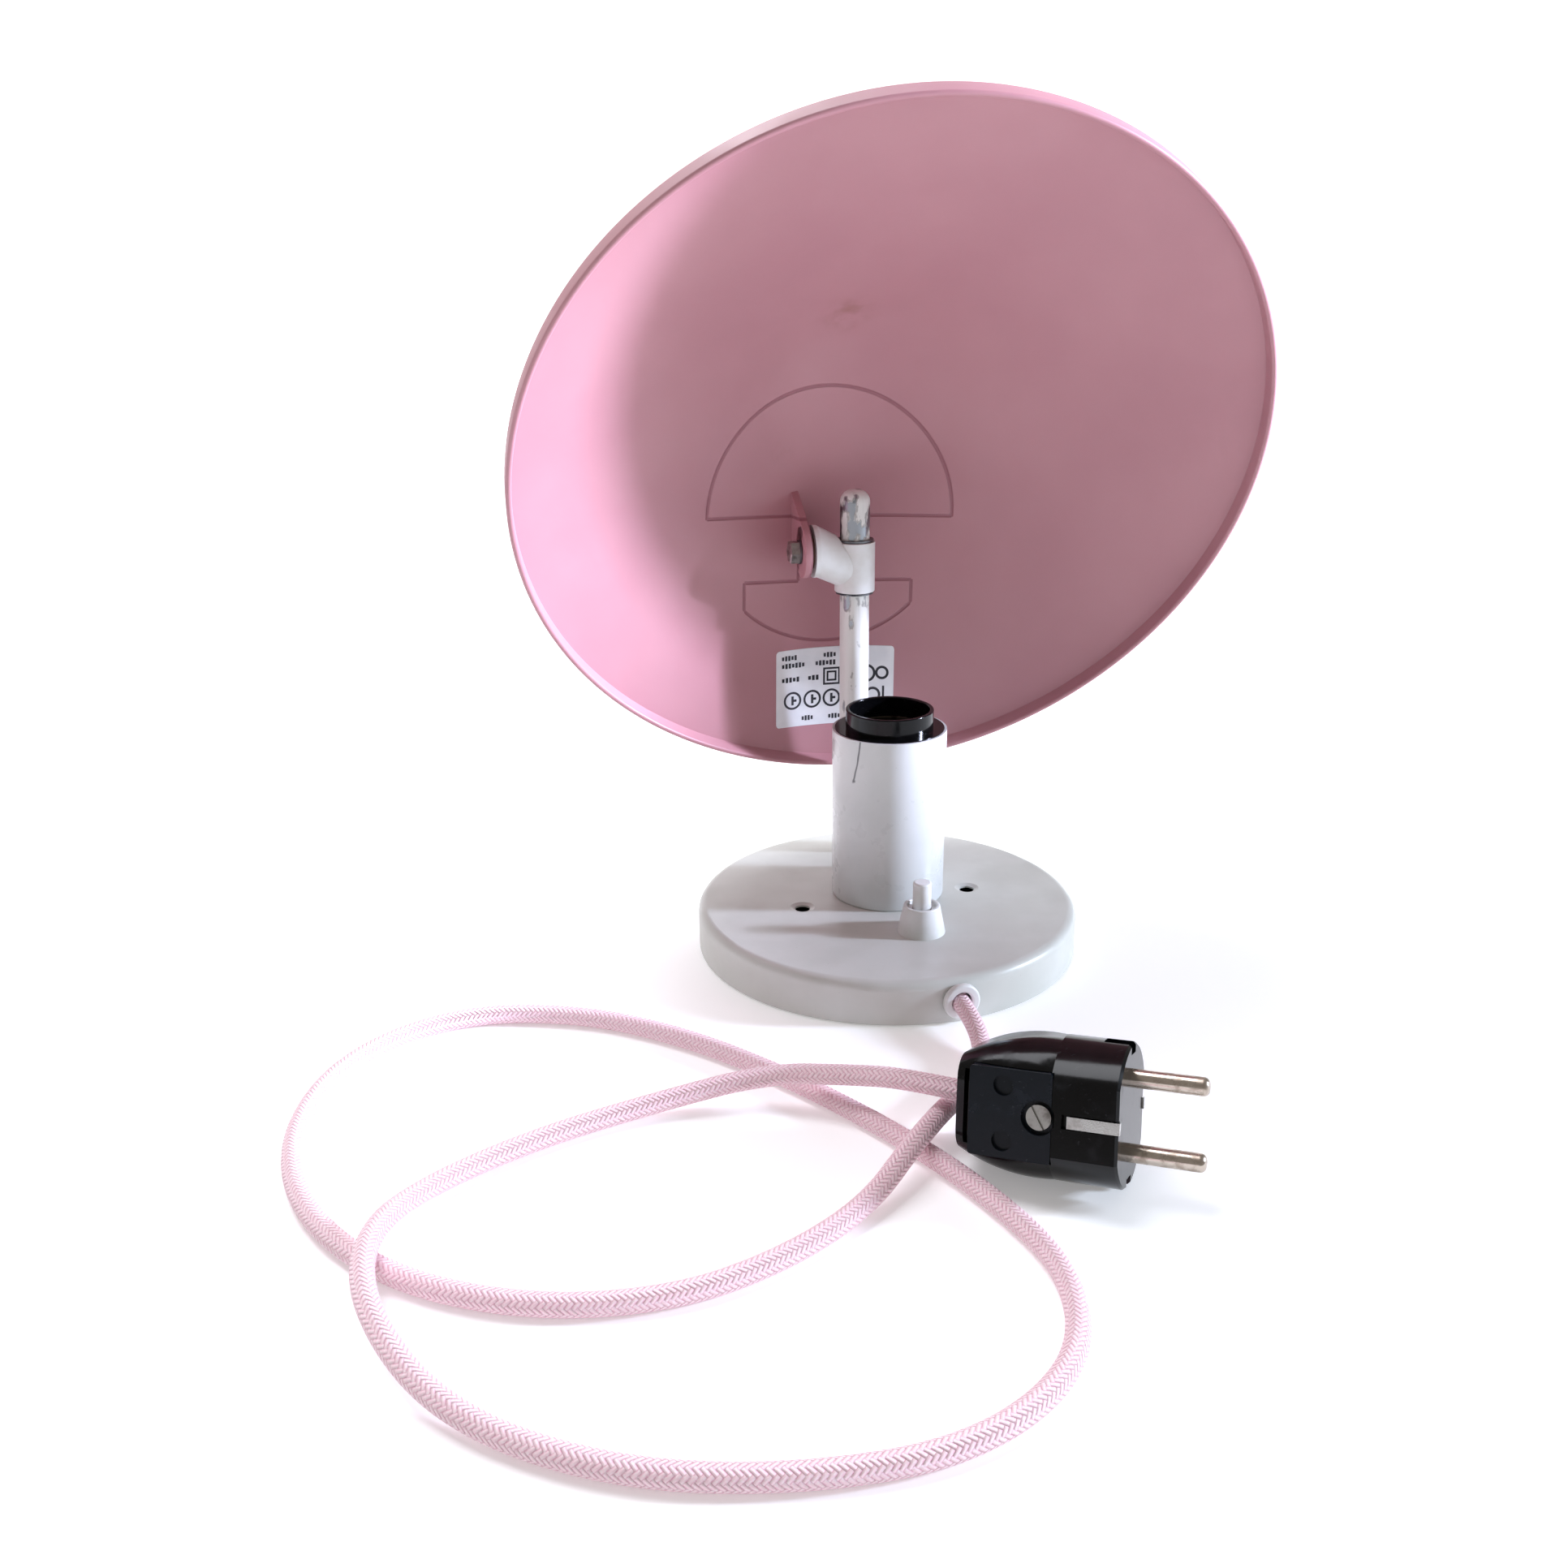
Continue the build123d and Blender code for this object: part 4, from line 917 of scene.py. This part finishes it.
# ---------------------------------------------------------------- cord
@dataclass(frozen=True)
class TextileCord:
    """The braided cord, from inside the base to inside the plug."""

    radius: float = 2.9 * MM
    length: float = 1.05
    floor: float = 2.95 * MM
    sides: int = 16
    exit_y: float = -66.5 * MM
    line_x: float = 2.7 * MM
    exit_z: float = 7.9 * MM

    def route(self) -> list[tuple[float, float, float]]:
        """The route's control points, in metres."""
        low = self.floor
        return [
            (self.line_x, -0.047, self.exit_z),
            (self.line_x, -0.074, self.exit_z),
            (0.001, -0.090, 0.0032),
            (-0.009, -0.107, 0.0040),
            (-0.022, -0.121, 0.0086),
            (-0.038, -0.138, 0.0100),
            (-0.055, -0.152, 0.0034),
            (-0.080, -0.166, low),
            (-0.108, -0.173, low),
            (-0.141, -0.167, low),
            (-0.172, -0.147, low),
            (-0.192, -0.115, low),
            (-0.196, -0.078, low),
            (-0.182, -0.042, low),
            (-0.149, -0.023, low),
            (-0.112, -0.032, low),
            (-0.082, -0.056, low),
            (-0.057, -0.089, low),
            (-0.038, -0.122, low),
            (-0.024, -0.155, low),
            (-0.017, -0.188, low),
            (-0.028, -0.217, low),
            (-0.058, -0.233, low),
            (-0.095, -0.231, low),
            (-0.131, -0.219, low),
            (-0.161, -0.195, 0.0036),
            (-0.176, -0.165, 0.0096),
            (-0.175, -0.138, 0.0096),
            (-0.160, -0.114, 0.0036),
            (-0.131, -0.099, low),
            (-0.097, -0.091, 0.0036),
            (-0.066, -0.0945, 0.0098),
            (-0.0456, -0.1082, 0.0138),
            (-0.034, -0.1188, 0.0170),
            (-0.0159, -0.1333, 0.0170),
        ]

    def _centreline(self) -> list[Vector]:
        """Points on the route's smooth curve, close together."""
        curve = bpy.data.curves.new("cord_route", "CURVE")
        curve.dimensions = "3D"
        curve.resolution_u = 40
        route = self.route()
        spline = curve.splines.new("NURBS")
        spline.points.add(len(route) - 1)
        for point, place in zip(spline.points, route):
            point.co = (*place, 1.0)
        spline.order_u = 3
        spline.use_endpoint_u = True
        holder = bpy.data.objects.new("cord_route", curve)
        bpy.context.scene.collection.objects.link(holder)
        bpy.context.view_layer.update()
        mesh = bpy.data.meshes.new_from_object(holder)
        points = [vert.co.copy() for vert in mesh.vertices]
        bpy.data.objects.remove(holder)
        bpy.data.curves.remove(curve)
        bpy.data.meshes.remove(mesh)
        return points

    def build(self) -> bpy.types.Object:
        """Makes the cord as a mesh tube with its map along and around, and gives it."""
        points = self._centreline()
        shape = bmesh.new()
        layer = shape.loops.layers.uv.new("braid")
        ahead = (points[1] - points[0]).normalized()
        side = ahead.cross(Vector((0, 0, 1))).normalized()
        rings, travelled = [], [0.0]
        first = bmesh.ops.create_circle(shape, segments=self.sides, radius=self.radius)["verts"]
        base = [vert.co.copy() for vert in first]
        ring = list(first)
        edges = [shape.edges.get((ring[at], ring[(at + 1) % self.sides])) for at in range(self.sides)]
        for number, here in enumerate(points):
            if number:
                travelled.append(travelled[-1] + (here - points[number - 1]).length)
                grown = bmesh.ops.extrude_edge_only(shape, edges=edges)["geom"]
                fresh = [part for part in grown if isinstance(part, bmesh.types.BMVert)]
                edges = [part for part in grown if isinstance(part, bmesh.types.BMEdge)]
                following = {}
                for vert in fresh:
                    old = next(e.other_vert(vert) for e in vert.link_edges if e.other_vert(vert) in ring)
                    following[old] = vert
                ring = [following[vert] for vert in ring]
                edges = [
                    shape.edges.get((ring[at], ring[(at + 1) % self.sides])) for at in range(self.sides)
                ]
            before = points[max(number - 1, 0)]
            after = points[min(number + 1, len(points) - 1)]
            ahead = (after - before).normalized()
            side = (side - ahead * side.dot(ahead)).normalized()
            turn = Matrix((side, ahead.cross(side), ahead)).transposed()
            for vert, flat in zip(ring, base):
                vert.co = here + turn @ flat
            rings.append(list(ring))
        order = {vert: (number, at) for number, ring in enumerate(rings) for at, vert in enumerate(ring)}
        for face in shape.faces:
            places = [order[loop.vert] for loop in face.loops]
            wraps = {at for _, at in places} == {0, self.sides - 1}
            for loop, (number, at) in zip(face.loops, places):
                turn_part = 1.0 if wraps and at == 0 else at / self.sides
                loop[layer].uv = (travelled[number], turn_part)
        bmesh.ops.holes_fill(shape, edges=shape.edges, sides=self.sides)
        bmesh.ops.recalc_face_normals(shape, faces=shape.faces)
        piece = new_piece("textile_cord", shape, BraidedTextile().make(), Body.LAMP)
        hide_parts("cord")
        return piece


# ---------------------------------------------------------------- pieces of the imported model
@dataclass(frozen=True)
class Fittings:
    """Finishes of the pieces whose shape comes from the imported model."""

    def dress_base(self) -> None:
        """Paints the base and the sleeve, and finishes what shows under and inside them."""
        cover = StoveEnamel("stove_enamel_base", "#CBCCC8", "#C2C3BE", 0.36).make()
        dress("base_cover", cover)
        sleeve = StoveEnamel("stove_enamel_sleeve", "#CFD1D1", "#C6C9C9", 0.30, hair_mark=True).make()
        dress("holder_sleeve", sleeve)
        dress("stem_rod", WornRod().make())
        dress("base_pad", MouldedPart("needle_felt_grey", "#3A3D3D", "#2A2C2D", 0.95, 0.5, 0.25).make())
        zinc = Metal("zinc_plated_steel", "#B9BCC0", "#8E9094", 0.30).make()
        for node in (
            "bottom_plate",
            "clamp_screws",
            "nipple_nuts",
            "holder_nipple",
            "stem_washer",
            "stem_nut",
        ):
            dress(node, zinc)
        dress("ballast_disc", Metal("cast_iron_raw", "#5A5B5E", "#3D3D40", 0.6, relief_mm=0.12).make())

    def dress_plastics(self) -> None:
        """Finishes the small white parts and the black phenolic ones."""
        white = MouldedPart("nylon_white", "#DEDFDF", "#D3D3D0", 0.34, 0.5, 0.012).make()
        for node in (
            "switch_collar",
            "switch_button",
            "stem_clip",
            "cord_grommet",
            "cord_clamp",
            "terminal_block",
        ):
            dress(node, white)
        black = Phenolic().make()
        for node in ("holder_body", "holder_ring", "switch_body", "plug_body"):
            dress(node, black)
        dress("plug_lid", Phenolic("phenolic_slate", "#10151C", "#1B222C", 0.26).make())
        dress("holder_insert", MouldedPart("steatite_glazed", "#DDD8CB", "#CFC9BA", 0.2, 0.6, 0.01).make())
        wire = MouldedPart("wire_insulation_brown", "#6A4A38", "#573B2C", 0.45).make()
        for node in ("supply_cores", "switch_wires", "holder_wires", "friction_washer"):
            dress(node, wire)

    def dress_metals(self) -> None:
        """Finishes the bare metal parts."""
        brass = Metal("brass_stamped", "#C9A968", "#8F7440", 0.26).make()
        for node in ("centre_contact", "terminal_screws", "pin_terminals"):
            dress(node, brass)
        # painted shade: the brass thread shell is coloured near black so that the socket's recess reads
        # dark
        dress("thread_shell", Metal("brass_painted_socket_shade", "#2E2A24", "#17150F", 0.42).make())
        dress("plug_pins", Metal("nickel_plate_worn", "#C4B8AC", "#A39588", 0.2, relief_mm=0.004).make())
        dress("earth_clips", Metal("nickel_plate_bright", "#D6D6D6", "#A9A6A2", 0.22).make())
        steel = Metal("steel_screw", "#A5A39F", "#6F6B66", 0.28).make()
        dress("hinge_screw", steel)
        dress("plug_screw", steel)
        dark = Metal("spring_steel_dark", "#6F7073", "#4A4A4D", 0.34).make()
        dress("spring_washer", dark)
        dress("clip_bush", dark)

    def build(self) -> None:
        """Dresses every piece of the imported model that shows."""
        self.dress_base()
        self.dress_plastics()
        self.dress_metals()


def main() -> None:
    """Builds the scene: camera and cord first, then the studio, the shade and the finishes."""
    logging.basicConfig(level=logging.INFO, format="%(name)s: %(message)s")
    Camera().build()
    TextileCord().build()
    Studio().build()
    shade = ReflectorShade()
    shade.build()
    PlainLabel(shade).build()
    Fittings().build()


if __name__ == "__main__":
    main()
